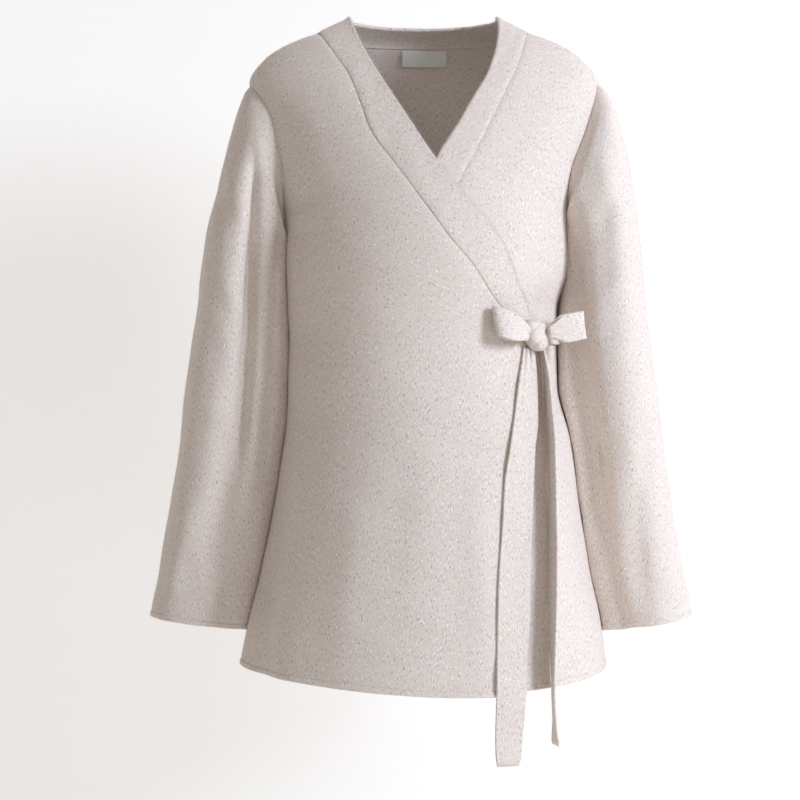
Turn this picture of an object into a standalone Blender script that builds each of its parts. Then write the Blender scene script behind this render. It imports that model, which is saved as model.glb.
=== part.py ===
"""Wrap cardigan in felted wool knit, filled out as when worn, with nobody in it.

Sizes are in millimetres and are turned to metres where a mesh is made. X runs to the wearer's
left, the front faces -Y, and Z is up. The origin is the middle of the shoulders, level with the
shoulder seams, where a wearer's shoulders hold the garment.

Every panel is cut from one body surface. A place on it has an angle about the body (0 at the
front centre, 90 at the wearer's left side, -90 at the right side, 180 at the back) and a height,
and may be moved out of or into that surface along its normal.
"""
import math

import bmesh
import bpy
import numpy as np

MM = 0.001

# Thickness of each cloth, and the room between pieces
WALL = 2.0
BAND_WALL = 3.0
TIE_WALL = 2.6
LABEL_WALL = 1.0
SEAM = 0.35
LAYER = 4.0  # the outer front lies this far outside the under front
REST_GAP = 0.5  # the short tail's edge to the panel behind it
TAIL_GAP = 1.3  # the long tail to the folds that it lies on

# Body sections: height, half width, centre, front depth, back depth
BODY = np.array([
    (-700, 199.0, 0.0, 153, 138),
    (-665, 193.0, 0.0, 150, 135),
    (-618, 185.0, 1.7, 146, 131),
    (-565, 173.5, 2.7, 140, 127),
    (-512, 163.5, 3.5, 134, 120),
    (-426, 151.0, 5.0, 124, 108),
    (-369, 142.5, 0.0, 118, 97),
    (-320, 141.5, -0.5, 115, 92),
    (-290, 142.0, -1.5, 117, 94),
    (-250, 149.0, 3.5, 122, 102),
    (-215, 150.0, 4.3, 121, 107),
    (-190, 152.0, 3.2, 116, 110),
    (-150, 162.0, 3.5, 106, 111),
    (-100, 178.0, 3.0, 88, 108),
    (-50, 184.0, 1.0, 66, 99),
    (-25, 167.0, 0.0, 53, 90),
    (-12, 148.0, 0.0, 44, 82),
    (4, 110.0, 0.0, 32, 70),
    (20, 77.0, 0.0, 18, 38),
    (24, 70.0, 0.0, 12, 30),
], float)

# Soft folds of the body: angle at the top, angle at the bottom, half width in degrees,
# height of the ridge (a trough is negative), top, bottom
BODY_FOLDS = [
    (-64, -42, 8, 4.0, -350, -760),
    (-74, -50, 7, -4.5, -480, -740),
    (17, 20, 8, 3.0, -420, -760),
    (128, 134, 10, 4.0, -380, -760),
    (150, 152, 9, -4.0, -420, -760),
    (176, 172, 11, 4.5, -360, -760),
    (-152, -150, 9, -4.0, -400, -760),
    (-128, -132, 10, 4.0, -440, -760),
]

# Neckband: seam x, seam height, free edge x, free edge height
RIGHT_BAND = np.array([
    (101, -317, 110, -315),
    (87, -301, 105, -290),
    (71, -280, 96, -264),
    (51, -249, 78, -222),
    (29, -223, 60, -198),
    (7, -193, 38, -172),
    (-21, -154, 11, -137),
    (-51, -112, -19, -90),
    (-63, -81, -35, -64),
    (-75, -50, -50, -39),
    (-92, -24, -66, -9),
    (-101, -10, -72, 6),
    (-110, 4, -77, 20),
], float)
LEFT_BAND = np.array([
    (-88, -317, -97, -315),
    (-72, -301, -90, -290),
    (-52, -280, -77, -262),
    (-30, -249, -57, -222),
    (-8, -223, -38, -197),
    (15, -193, -14, -170),
    (33, -168, 8, -148),
    (45, -146, 20, -126),
    (58, -121, 34, -104),
    (74, -88, 49, -77),
    (88, -59, 69, -40),
    (100, -31, 77, -11),
    (106, -9, 79, 8),
    (110, 4, 77, 20),
], float)
BACK_SEAM_DROP = 6.5  # how far the back neck seam dips below the shoulder corners
BACK_EDGE_DROP = 5.0
BAND_TOP = 20.0

# Free edge of each front below its band: height, x
RIGHT_FREE_EDGE = np.array([(-680, 90), (-487, 99), (-318, 109)], float)
LEFT_FREE_EDGE = np.array([(-680, -92), (-487, -97), (-318, -98)], float)

HEM = -664.0
OUTER_HEM_DROP = 4.0
SHOULDER_CORNER = 4.0
NECK_ROW = 2.5

# Slit in the right side seam that lets the under tie out
SLIT_ROWS = (-278, -269, -260)
SLIT_HALF = 5.5

# Rows of a panel, hem to underarm, on the right side
LOWER_ROWS = (-664, -632, -596, -558, -520, -480, -442, -405, -372, -342, -315, -297, -284,
              -278, -269, -260, -254, -236)
SHOULDER_ROWS = (-41, -30, -20, -12, -4, NECK_ROW)
FRONT_COLUMNS = 14
BACK_COLUMNS = 22
ARMHOLE_STEPS = 10  # rows of a panel from underarm to shoulder, half the sides of a sleeve

# Armholes: top, bottom, then how far each reaches forward and back, in degrees, and how much
# further its upper end reaches than its lower end
ARMHOLES = {
    -1: dict(top=-53.0, bottom=-216.0, front=25.0, front_lean=12.0, back=20.0, back_lean=5.0),
    1: dict(top=-50.0, bottom=-192.0, front=22.0, front_lean=-6.0, back=20.0, back_lean=3.0),
}

# Sleeve rings, armhole to cuff: outer x, outer height, inner x, inner height, middle y,
# half depth
RIGHT_SLEEVE = np.array([
    (-183.4, -53, -146.0, -216, 0, 48),
    (-194.5, -80, -150.5, -224, -1, 54),
    (-205.5, -118, -151.5, -238, 0, 57),
    (-216.0, -161, -151.0, -256, 1, 58),
    (-229.5, -217, -149.5, -286, 3, 58),
    (-239.0, -292, -147.5, -335, 5, 56),
    (-251.0, -371, -150.0, -400, 7, 53),
    (-259.7, -448, -158.0, -471, 8, 50),
    (-270.3, -511, -168.5, -531, 9, 47),
    (-280.0, -567, -180.0, -585, 10, 45),
    (-289.0, -614, -190.0, -628, 10, 43),
], float)
LEFT_SLEEVE = np.array([
    (184.5, -50, 155.0, -192, 0, 46),
    (198.0, -70, 159.0, -201, -1, 53),
    (209.0, -102, 159.5, -216, 0, 57),
    (219.0, -146, 159.0, -238, 1, 58),
    (228.5, -215, 156.5, -272, 3, 58),
    (235.5, -292, 151.0, -330, 5, 56),
    (247.0, -376, 154.0, -400, 7, 53),
    (256.5, -448, 166.0, -471, 8, 50),
    (266.0, -513, 175.0, -535, 9, 47),
    (276.0, -569, 186.0, -588, 10, 45),
    (285.0, -614, 197.0, -629, 10, 43),
], float)
SLEEVE_RINGS = 19
CAP_ROWS = 3.0  # the sleeve keeps some of the armhole's shape over this many table rows

# Soft folds of a sleeve: angle about it at the top and bottom (0 outwards, 90 to the front),
# half width in degrees, height (a trough is negative), first and last table row
RIGHT_SLEEVE_FOLDS = [
    (105, 96, 16, -6.0, 1.6, 9.0),
    (96, 130, 16, -3.0, 7.0, 12.0),
    (138, 118, 12, 3.5, 2.0, 9.0),
    (40, 55, 16, 3.0, 3.0, 12.0),
    (250, 262, 18, -5.0, 1.6, 12.0),
    (300, 292, 16, 3.5, 2.0, 12.0),
]
LEFT_SLEEVE_FOLDS = [
    (142, 112, 18, -6.0, 2.0, 8.0),
    (112, 122, 16, -4.5, 6.0, 12.0),
    (70, 84, 16, 3.0, 1.6, 12.0),
    (262, 250, 18, -5.0, 1.6, 12.0),
    (295, 300, 16, 3.5, 2.0, 12.0),
]

# Under tie: angle, height, distance out of the body surface, width. It starts at the under
# front's hidden edge, leaves by the slit at -90 and runs round the back to the knot.
UNDER_TIE = np.array([
    (-45.5, -313, -0.4, 26),
    (-50.0, -310, -1.7, 26),
    (-56.0, -306, -2.8, 26),
    (-66.0, -296, -3.1, 22),
    (-78.0, -280, -3.4, 16),
    (-84.0, -271, -3.6, 14),
    (-87.2, -269, -3.3, 14),
    (-93.4, -269, 3.3, 14),
    (-98.0, -269, 3.5, 15),
    (-108.0, -271, 3.5, 20),
    (-124.0, -277, 3.5, 27),
    (-150.0, -287, 3.5, 30),
    (-180.0, -296, 3.5, 30),
    (-215.0, -303, 3.5, 30),
    (-250.0, -309, 3.5, 30),
    (-275.0, -313, 3.5, 27),
    (-292.0, -316, 3.5, 22),
    (-300.0, -317, 3.5, 18),
    (-306.5, -318, 5.0, 14),
], float)
TIE_STEP = 6.0

# Long tail: x, height, width; it lies on the outer front and hangs free below the hem
TAIL_LEAVES = -676.0  # a tail leaves the cloth at this height and hangs straight down
LONG_TAIL = np.array([
    (109.6, -331.0, 12),
    (109.0, -350, 15),
    (107.5, -371, 20),
    (108.0, -388, 25),
    (107.5, -405, 29),
    (102.0, -450, 30),
    (94.5, -506, 30),
    (90.5, -566, 30),
    (88.6, -626, 30),
    (87.9, -683, 30),
    (87.5, -718, 30),
    (86.5, -752, 28),
], float)

# Short tail, seen edge on: x of its near edge, height, width, lean of the width to the left
SHORT_TAIL = np.array([
    (122.8, -329, 13, 12),
    (129.0, -362, 24, 14),
    (132.5, -405, 28, 16),
    (134.5, -430, 28, 16),
    (134.0, -508, 28, 14),
    (132.5, -600, 28, 12),
    (131.5, -679, 28, 3),
    (133.0, -706, 28, 4),
    (136.5, -733, 24, 16),
], float)

# Bow. The knot and left loop lie on the body surface at x, height, this far out of it.
KNOT = dict(x=107.0, height=-318.5, out=13.4, half_width=13.0, half_height=14.5, half_depth=8.6)
KNOT_NARROWS = 0.28  # share of its width that is gone at its lower tip
KNOT_LEANS = 3.5  # how far that tip lies to the left
KNOT_CREASE = dict(depth=0.12, slant=0.25, half_width=0.25)
LEFT_LOOP = dict(root=(97.9, -317.0), tip=(63.0, -303.5), out=14.6, gap=8.0)
LEFT_LOOP_WIDTHS = np.array([(0.0, 15), (0.35, 26), (0.7, 32), (1.0, 33)], float)
RIGHT_LOOP = dict(root=(128.0, -88.0, -315.5), tip=(172.0, -69.0, -307.5), gap=5.5)
RIGHT_LOOP_WIDTHS = np.array([(0.0, 10), (0.25, 20), (0.5, 29), (1.0, 29)], float)
LOOP_STEPS = 18
LOOP_ENDS, LOOP_BELLY = 0.4, 0.9  # half gap of a loop at the knot, and what it gains on the way

# Label on the inside of the back, below the neck seam
LABEL_CENTRE = 1.6
LABEL_WIDTH = 49.0
LABEL_TOP = -3.2
LABEL_BOTTOM = -20.0
LABEL_IN = -2.4

OATMEAL = (0.604, 0.533, 0.456)
OFF_WHITE = (0.78, 0.79, 0.76)


def smooth(rows, column, at, by=0):
    """A column of a table read along another one through a smooth curve that never overshoots."""
    x, y = rows[:, by], rows[:, column]
    at = np.clip(np.asarray(at, float), x[0], x[-1])
    step = np.diff(x)
    slope = np.diff(y) / step
    tangent = np.concatenate([slope[:1], np.zeros(len(x) - 2), slope[-1:]])
    same_way = slope[:-1] * slope[1:] > 0
    before, after = slope[:-1][same_way], slope[1:][same_way]
    tangent[1:-1][same_way] = 2 * before * after / (before + after)
    k = np.clip(np.searchsorted(x, at, side="right") - 1, 0, len(step) - 1)
    t = (at - x[k]) / step[k]
    start = (1 + 2 * t) * (1 - t) ** 2 * y[k] + t * (1 - t) ** 2 * step[k] * tangent[k]
    end = t * t * (3 - 2 * t) * y[k + 1] - t * t * (1 - t) * step[k] * tangent[k + 1]
    return start + end


def ease(value, low, high):
    """0 below low, 1 above high, and smooth between."""
    t = np.clip((np.asarray(value, float) - low) / (high - low), 0, 1)
    return t * t * (3 - 2 * t)


def unit(vectors):
    return vectors / np.linalg.norm(vectors, axis=-1, keepdims=True)


def turned(angle, about):
    """The angle as a difference from another one, between -180 and 180."""
    return (angle - about + 180) % 360 - 180


def body_middle(angle, height):
    """A point of the smooth body, without folds."""
    radians = np.radians(angle)
    front = np.cos(radians) > 0
    depth = np.where(front, smooth(BODY, 3, height), smooth(BODY, 4, height))
    x = smooth(BODY, 2, height) + smooth(BODY, 1, height) * np.sin(radians)
    return np.stack([x, -depth * np.cos(radians), height], axis=-1)


def body_normal(angle, height):
    tiny = 0.05
    across = body_middle(angle + tiny, height) - body_middle(angle - tiny, height)
    up = body_middle(angle, height + tiny) - body_middle(angle, height - tiny)
    return unit(np.cross(across, up))


def body_fold(angle, height):
    """How far the folds lift the cloth out of the smooth body."""
    lift = np.zeros(np.broadcast(angle, height).shape)
    for top_angle, bottom_angle, half, depth, top, bottom in BODY_FOLDS:
        down = np.clip((top - height) / (top - bottom), 0, 1)
        about = top_angle + (bottom_angle - top_angle) * down
        across = np.exp(-((turned(angle, about) / half) ** 2))
        lift = lift + depth * across * ease(down, 0, 0.35)
    return lift


def body_point(angle, height, out=0.0):
    angle, height = np.broadcast_arrays(np.asarray(angle, float), np.asarray(height, float))
    away = (body_fold(angle, height) + out)[..., None]
    return body_middle(angle, height) + body_normal(angle, height) * away


def front_angle(x, height):
    """The angle of a place on the front, from its x."""
    share = (x - smooth(BODY, 2, height)) / smooth(BODY, 1, height)
    return np.degrees(np.arcsin(np.clip(share, -1, 1)))


def layer(side, angle, height):
    """How far a front lies outside the body surface: the right one laps over the left one."""
    if side > 0:
        return np.zeros(np.broadcast(angle, height).shape)
    return LAYER * ease(angle, -60, -38) * (1 - ease(height, -110, -40))


def hem_height(angle):
    radians = np.radians(angle)
    forward = np.maximum(np.cos(radians), 0)
    backward = np.maximum(-np.cos(radians), 0)
    return HEM - 15 * forward ** 1.5 - 6 * np.sin(radians) * forward - 5 * backward


def mesh_object(name, points, faces, colour, roughness):
    """A closed mesh object, facing out, with its own material."""
    mesh = bpy.data.meshes.new(name)
    mesh.from_pydata([tuple(p) for p in np.asarray(points) * MM], [], faces)
    work = bmesh.new()
    work.from_mesh(mesh)
    if work.calc_volume(signed=True) < 0:
        bmesh.ops.reverse_faces(work, faces=work.faces)
    work.to_mesh(mesh)
    work.free()
    mesh.shade_smooth()
    material = bpy.data.materials.new(name + "_cloth")
    material.use_nodes = True
    shader = material.node_tree.nodes["Principled BSDF"]
    shader.inputs["Base Color"].default_value = (*colour, 1)
    shader.inputs["Roughness"].default_value = roughness
    shader.inputs["Metallic"].default_value = 0
    mesh.materials.append(material)
    made = bpy.data.objects.new(name, mesh)
    bpy.context.scene.collection.objects.link(made)
    return made


def wall(name, middle, normal, thickness, closed=False, colour=OATMEAL, roughness=0.95):
    """A cloth wall on a grid of points, rows by columns. A closed one joins its last column to
    its first."""
    outer = middle + normal * thickness / 2
    inner = middle - normal * thickness / 2
    rows, columns = middle.shape[:2]
    count = rows * columns

    def at(row, column, side):
        return side * count + row * columns + column % columns

    faces = []
    for row in range(rows - 1):
        for column in range(columns if closed else columns - 1):
            square = [(row, column), (row, column + 1), (row + 1, column + 1), (row + 1, column)]
            faces.append([at(*corner, 0) for corner in square])
            faces.append([at(*corner, 1) for corner in reversed(square)])
    for row, flip in ((0, False), (rows - 1, True)):
        for column in range(columns if closed else columns - 1):
            rim = [at(row, column, 1), at(row, column + 1, 1), at(row, column + 1, 0),
                   at(row, column, 0)]
            faces.append(rim[::-1] if flip else rim)
    if not closed:
        for column, flip in ((0, True), (columns - 1, False)):
            for row in range(rows - 1):
                rim = [at(row, column, 1), at(row + 1, column, 1), at(row + 1, column, 0),
                       at(row, column, 0)]
                faces.append(rim if not flip else rim[::-1])
    points = np.concatenate([outer.reshape(-1, 3), inner.reshape(-1, 3)])
    return mesh_object(name, points, faces, colour, roughness)


def strip(name, centre, across, out, widths, thickness):
    """A flat strip along a line of points, three points wide."""
    places = np.array([-0.5, 0.0, 0.5])[None, :, None]
    middle = centre[:, None] + across[:, None] * places * widths[:, None, None]
    normal = np.repeat(out[:, None], 3, axis=1)
    return wall(name, middle, normal, thickness)


def armhole(side, turn):
    """Angle and height on the armhole: turn 0 at the shoulder, 90 in front, 180 under the arm."""
    size = ARMHOLES[side]
    radians = np.radians(np.asarray(turn, float))
    height = (size["top"] + size["bottom"]) / 2
    height = height + (size["top"] - size["bottom"]) / 2 * np.cos(radians)
    front = size["front"] + size["front_lean"] * np.cos(radians)
    back = size["back"] + size["back_lean"] * np.cos(radians)
    reach = np.where(np.sin(radians) >= 0, front, back) * np.sin(radians)
    return side * (90 - reach), height


def armhole_turns():
    return np.linspace(180, 0, ARMHOLE_STEPS + 1)


def panel_rows(side):
    """Height of each row on one side of the body, hem to neck."""
    lower = np.array(LOWER_ROWS, float)
    if side > 0:
        underarms = [ARMHOLES[-1]["bottom"], ARMHOLES[1]["bottom"]]
        lower = np.interp(lower, [HEM, -315, underarms[0]], [HEM, -315, underarms[1]])
    return np.concatenate([lower, armhole(side, armhole_turns())[1], SHOULDER_ROWS])


def side_reach(side, front):
    """How far each row of a panel stops short of the side, in degrees: the seam's half gap, the
    slit, or the armhole."""
    heights = panel_rows(side)
    depth = smooth(BODY, 3 if front else 4, heights)
    half_gap = np.full(len(heights), SEAM / 2)
    if side < 0:
        half_gap[np.isin(heights, SLIT_ROWS)] = SLIT_HALF
    reach = np.degrees(half_gap / depth)
    start = len(LOWER_ROWS)
    turns = armhole_turns() if front else -armhole_turns()
    reach[start:start + len(turns)] += np.abs(90 - np.abs(armhole(side, turns)[0]))
    return reach


def front_edge(side, heights):
    """x of a front's inner boundary at each height: the band's seam, then the free edge."""
    band, free = (RIGHT_BAND, RIGHT_FREE_EDGE) if side < 0 else (LEFT_BAND, LEFT_FREE_EDGE)
    seam = smooth(band, 0, heights, by=1) + side * 0.5
    return np.where(heights > band[0, 1] - 0.1, seam, smooth(free, 1, heights))


def front_panel(name, side):
    heights = panel_rows(side)
    start = side * (90 - side_reach(side, True))
    end = front_angle(front_edge(side, heights), heights)
    share = np.linspace(0, 1, FRONT_COLUMNS + 1)
    angle = start[:, None] + (end - start)[:, None] * share
    low = 1 - ease(heights, HEM, -430)[:, None]
    height = heights[:, None] + (hem_height(angle) - HEM) * low
    if side < 0:
        height = height - OUTER_HEM_DROP * low * ease(angle, -60, 40)
    middle = body_point(angle, height, layer(side, angle, height))
    return wall(name, middle, body_normal(angle, height), WALL)


def back_angles():
    return np.linspace(-90, -270, BACK_COLUMNS + 1)


def back_dip(angle, drop):
    """How far the back neck lies below its ends."""
    return drop * np.maximum(-np.cos(np.radians(angle)), 0) ** 0.8


def back_panel(name):
    share = np.linspace(0, 1, BACK_COLUMNS + 1)
    right = -90 - side_reach(-1, False)
    left = -270 + side_reach(1, False)
    angle = right[:, None] + (left - right)[:, None] * share
    height = panel_rows(-1)[:, None] * (1 - share) + panel_rows(1)[:, None] * share
    top = SHOULDER_CORNER - SEAM
    angle = np.vstack([angle, angle[-1:]])
    height = np.vstack([height, np.full((1, len(share)), top)])
    low = 1 - ease(height, HEM, -430)
    height = height + (hem_height(angle) - HEM) * low
    height = height - back_dip(angle, BACK_SEAM_DROP) * ease(height, -53, -4)
    return wall(name, body_point(angle, height), body_normal(angle, height), WALL)


def band_side(side):
    """Seam and free edge of a front's band, tie to shoulder, as angles and heights."""
    band = RIGHT_BAND if side < 0 else LEFT_BAND
    heights = panel_rows(side)
    heights = heights[heights > band[0, 1]]
    edge_x = smooth(band, 2, heights, by=1)
    edge_height = smooth(band, 3, heights, by=1)
    seam_angle = front_angle(smooth(band, 0, heights, by=1), heights)
    return seam_angle, heights, front_angle(edge_x, edge_height), edge_height


def neckband(name):
    """One doubled strip: up the right front, round the back neck and down the left front."""
    right = np.array(band_side(-1))
    left = np.array(band_side(1))[:, ::-1]
    angles = back_angles()
    seam_height = SHOULDER_CORNER - back_dip(angles, BACK_SEAM_DROP)
    edge_height = BAND_TOP - back_dip(angles, BACK_EDGE_DROP)
    back = np.array([angles, seam_height, angles, edge_height])
    left[[0, 2]] -= 360
    seam_angle, seam, edge_angle, edge = np.concatenate([right, back, left], axis=1)
    share = np.array([0.0, 0.5, 1.0])
    angle = seam_angle[:, None] * (1 - share) + edge_angle[:, None] * share
    height = seam[:, None] * (1 - share) + edge[:, None] * share
    out = np.zeros(angle.shape)
    count = right.shape[1]
    out[:count] = layer(-1, angle[:count], height[:count])
    return wall(name, body_point(angle, height, out), body_normal(angle, height), BAND_WALL)


def sleeve_point(side, turn, row):
    """A point of a sleeve: turn is the angle about it, row runs down its table."""
    table = RIGHT_SLEEVE if side < 0 else LEFT_SLEEVE
    folds = RIGHT_SLEEVE_FOLDS if side < 0 else LEFT_SLEEVE_FOLDS
    table = np.column_stack([np.arange(len(table)), table])
    radians = np.radians(turn)

    def ring(at):
        outer = np.stack([smooth(table, 1, at), smooth(table, 5, at), smooth(table, 2, at)], -1)
        inner = np.stack([smooth(table, 3, at), smooth(table, 5, at), smooth(table, 4, at)], -1)
        deep = smooth(table, 6, at)[..., None] * np.array([0.0, -1.0, 0.0])
        cosine, sine = np.cos(radians)[..., None], np.sin(radians)[..., None]
        return (outer + inner) / 2, (outer - inner) / 2 * cosine + deep * sine

    centre, spoke = ring(row)
    lift = np.zeros(np.broadcast(turn, row).shape)
    for top_turn, bottom_turn, half, depth, first, last in folds:
        down = np.clip((row - first) / (last - first), 0, 1)
        about = top_turn + (bottom_turn - top_turn) * down
        fade = ease(down, 0, 0.3) * (1 - ease(row, last - 1.5, last))
        lift = lift + depth * np.exp(-((turned(turn, about) / half) ** 2)) * fade
    point = centre + spoke + unit(spoke) * lift[..., None]
    first_centre, first_spoke = ring(np.zeros(np.shape(row)))
    hole_angle, hole_height = armhole(side, turn)
    hole = body_point(hole_angle, hole_height, WALL + SEAM)
    keep = (np.clip(1 - row / CAP_ROWS, 0, 1) ** 2)[..., None]
    return point + keep * (hole - first_centre - first_spoke)


def sleeve(name, side):
    table = RIGHT_SLEEVE if side < 0 else LEFT_SLEEVE
    turns = np.linspace(0, 360, 2 * ARMHOLE_STEPS, endpoint=False)
    rows = np.linspace(0, len(table) - 1, SLEEVE_RINGS)
    turn, row = np.meshgrid(turns, rows)
    tiny = 0.02
    middle = sleeve_point(side, turn, row)
    around = sleeve_point(side, turn + tiny * 10, row) - sleeve_point(side, turn - tiny * 10, row)
    upper, lower = np.maximum(row - tiny, 0), np.minimum(row + tiny, len(table) - 1)
    down = sleeve_point(side, turn, lower) - sleeve_point(side, turn, upper)
    normal = unit(np.cross(around, down))
    centre = middle.mean(axis=1, keepdims=True)
    if ((middle - centre) * normal).sum() < 0:
        normal = -normal
    return wall(name, middle, normal, WALL, closed=True)


def surface_frame(angle, height):
    """Directions on the body surface: level across it, and up it."""
    out = body_normal(angle, height)
    level = unit(np.cross(np.array([0.0, 0.0, 1.0]), out))
    return level, unit(np.cross(out, level)), out


def under_tie(name):
    rows = np.column_stack([-UNDER_TIE[:, 0], UNDER_TIE[:, 1:]])
    places = [rows[0, 0]]
    for start, end in zip(rows[:-1, 0], rows[1:, 0]):
        steps = max(1, round((end - start) / TIE_STEP))
        places.extend(start + (end - start) * (i + 1) / steps for i in range(steps))
    places = np.array(places)
    angle, height = -places, smooth(rows, 1, places)
    centre = body_point(angle, height, smooth(rows, 2, places))
    along = unit(np.gradient(centre, axis=0))
    out = body_normal(angle, height)
    return strip(name, centre, unit(np.cross(out, along)), out, smooth(rows, 3, places), TIE_WALL)


def long_tail(name):
    x, height, width = LONG_TAIL.T
    lying = np.maximum(height, TAIL_LEAVES)
    level, _, out = surface_frame(front_angle(x, lying), lying)
    across = np.outer(width * level[:, 0], [-0.5, 0.0, 0.5])
    lying = np.repeat(lying[:, None], 3, axis=1)
    angle = front_angle(x[:, None] + across, lying)
    middle = body_point(angle, lying, LAYER + (WALL + TIE_WALL) / 2 + TAIL_GAP)
    middle[..., 2] = height[:, None]
    return wall(name, middle, np.repeat(out[:, None], 3, axis=1), TIE_WALL)


def short_tail(name):
    near_x, height, width, lean = SHORT_TAIL.T
    lying = np.maximum(height, TAIL_LEAVES)
    radians = np.radians(lean)
    forward = np.stack([np.sin(radians), -np.cos(radians), np.zeros(len(lean))], -1)
    far_x = near_x - width * np.sin(radians)
    far = body_point(front_angle(far_x, lying), lying, (WALL + TIE_WALL) / 2 + REST_GAP)
    far[:, 2] = height
    centre = far + forward * width[:, None] / 2
    out = np.stack([-forward[:, 1], forward[:, 0], np.zeros(len(lean))], -1)
    return strip(name, centre, forward, out, width, TIE_WALL)


def bow_knot(name):
    """A rounded lump, broad at the top left and narrow below, with a soft crease."""
    angle = front_angle(KNOT["x"], KNOT["height"])
    centre = body_point(angle, KNOT["height"], KNOT["out"])
    level, up, out = surface_frame(angle, KNOT["height"])
    work = bmesh.new()
    bmesh.ops.create_uvsphere(work, u_segments=14, v_segments=9, radius=1.0)
    points = np.array([vertex.co[:] for vertex in work.verts])
    faces = [[vertex.index for vertex in face.verts] for face in work.faces]
    work.free()
    a, b, c = points.T
    below = ease(-b, 0.0, 1.0)
    across = a * KNOT["half_width"] * (1 - KNOT_NARROWS * below) + KNOT_LEANS * below
    off_crease = (a - KNOT_CREASE["slant"] * b) / KNOT_CREASE["half_width"]
    crease = 1 - KNOT_CREASE["depth"] * np.exp(-off_crease ** 2)
    placed = (centre + np.outer(across, level) + np.outer(b * KNOT["half_height"], up)
              + np.outer(c * KNOT["half_depth"] * crease, out))
    return mesh_object(name, placed, faces, OATMEAL, 0.95)


def loop_shape():
    """A loop seen from above: how far along it is, and how far out of its middle."""
    turn = np.linspace(0, math.pi, LOOP_STEPS + 1)
    return np.sin(turn), np.cos(turn) * (LOOP_ENDS + LOOP_BELLY * np.sin(turn))


def loop_strip(name, centre, up, widths):
    along = unit(np.gradient(centre, axis=0))
    out = unit(np.cross(along, up))
    across = unit(np.cross(out, along))
    return strip(name, centre, across, out, widths, TIE_WALL)


def left_loop(name):
    along, lift = loop_shape()
    root, tip = np.array(LEFT_LOOP["root"]), np.array(LEFT_LOOP["tip"])
    x, height = (root[:, None] + (tip - root)[:, None] * along)
    angle = front_angle(x, height)
    centre = body_point(angle, height, LEFT_LOOP["out"] + LEFT_LOOP["gap"] * lift)
    lean = math.atan2(tip[1] - root[1], root[0] - tip[0])
    level, up, _ = surface_frame(angle, height)
    up = up * math.cos(lean) + level * math.sin(lean)
    return loop_strip(name, centre, up, smooth(LEFT_LOOP_WIDTHS, 1, along))


def right_loop(name):
    along, lift = loop_shape()
    root, tip = np.array(RIGHT_LOOP["root"]), np.array(RIGHT_LOOP["tip"])
    axis = unit(tip - root)
    out = unit(np.cross(axis, [0.0, 0.0, 1.0]))
    up = unit(np.cross(out, axis))
    centre = root + np.outer(along, tip - root) + np.outer(lift * RIGHT_LOOP["gap"], out)
    up = np.repeat(up[None], len(along), axis=0)
    return loop_strip(name, centre, up, smooth(RIGHT_LOOP_WIDTHS, 1, along))


def label(name):
    """A bare woven label, flat against the inside of the back."""
    height = np.linspace(LABEL_BOTTOM, LABEL_TOP, 4)[:, None]
    x = LABEL_CENTRE + np.linspace(-0.5, 0.5, 8)[None, :] * LABEL_WIDTH
    angle = 180 - front_angle(x, height)
    middle = body_point(angle, height + 0 * x, LABEL_IN)
    return wall(name, middle, body_normal(angle, height + 0 * x), LABEL_WALL,
                colour=OFF_WHITE, roughness=0.6)


def main():
    for found in list(bpy.data.objects):
        bpy.data.objects.remove(found)
    back_panel("back")
    front_panel("front_right", -1)
    front_panel("front_left", 1)
    sleeve("sleeve_right", -1)
    sleeve("sleeve_left", 1)
    neckband("neckband")
    label("label")
    under_tie("tie_round_back")
    bow_knot("bow_knot")
    left_loop("bow_loop_left")
    right_loop("bow_loop_right")
    long_tail("tail_long")
    short_tail("tail_short")


main()
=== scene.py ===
"""The looks of a wrap cardigan in felted wool knit, filled out as when worn.

Sizes are in millimetres and are turned to metres where a mesh is made. The body surface, its
folds, the sleeves and the ties are worked out from the same sizes as the solids. Each panel is
a thin closed shell on them, with rounded edges, turned hems, soft creases, seams and a nap.
"""
import math

import bpy
import numpy as np
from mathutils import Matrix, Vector


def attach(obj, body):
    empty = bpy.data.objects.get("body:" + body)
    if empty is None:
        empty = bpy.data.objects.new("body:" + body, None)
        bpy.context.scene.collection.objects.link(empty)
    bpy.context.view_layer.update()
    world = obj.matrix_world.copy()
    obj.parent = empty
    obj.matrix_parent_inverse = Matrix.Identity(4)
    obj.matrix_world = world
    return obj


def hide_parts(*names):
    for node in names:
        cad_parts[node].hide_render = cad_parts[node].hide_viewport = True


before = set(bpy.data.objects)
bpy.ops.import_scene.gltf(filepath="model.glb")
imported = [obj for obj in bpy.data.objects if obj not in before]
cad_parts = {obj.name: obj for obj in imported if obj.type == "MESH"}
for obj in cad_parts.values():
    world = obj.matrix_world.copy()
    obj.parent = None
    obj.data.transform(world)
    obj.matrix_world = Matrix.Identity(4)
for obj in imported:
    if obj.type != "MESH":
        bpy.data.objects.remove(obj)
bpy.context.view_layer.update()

MM = 0.001

# Thickness of each cloth, and the room between pieces
WALL = 2.0
BAND_WALL = 3.0
TIE_WALL = 2.6
LABEL_WALL = 1.0
SEAM = 0.35
LAYER = 4.0  # the outer front lies this far outside the under front
REST_GAP = 0.5  # the short tail's edge to the panel behind it
TAIL_GAP = 1.3  # the long tail to the folds that it lies on

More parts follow.
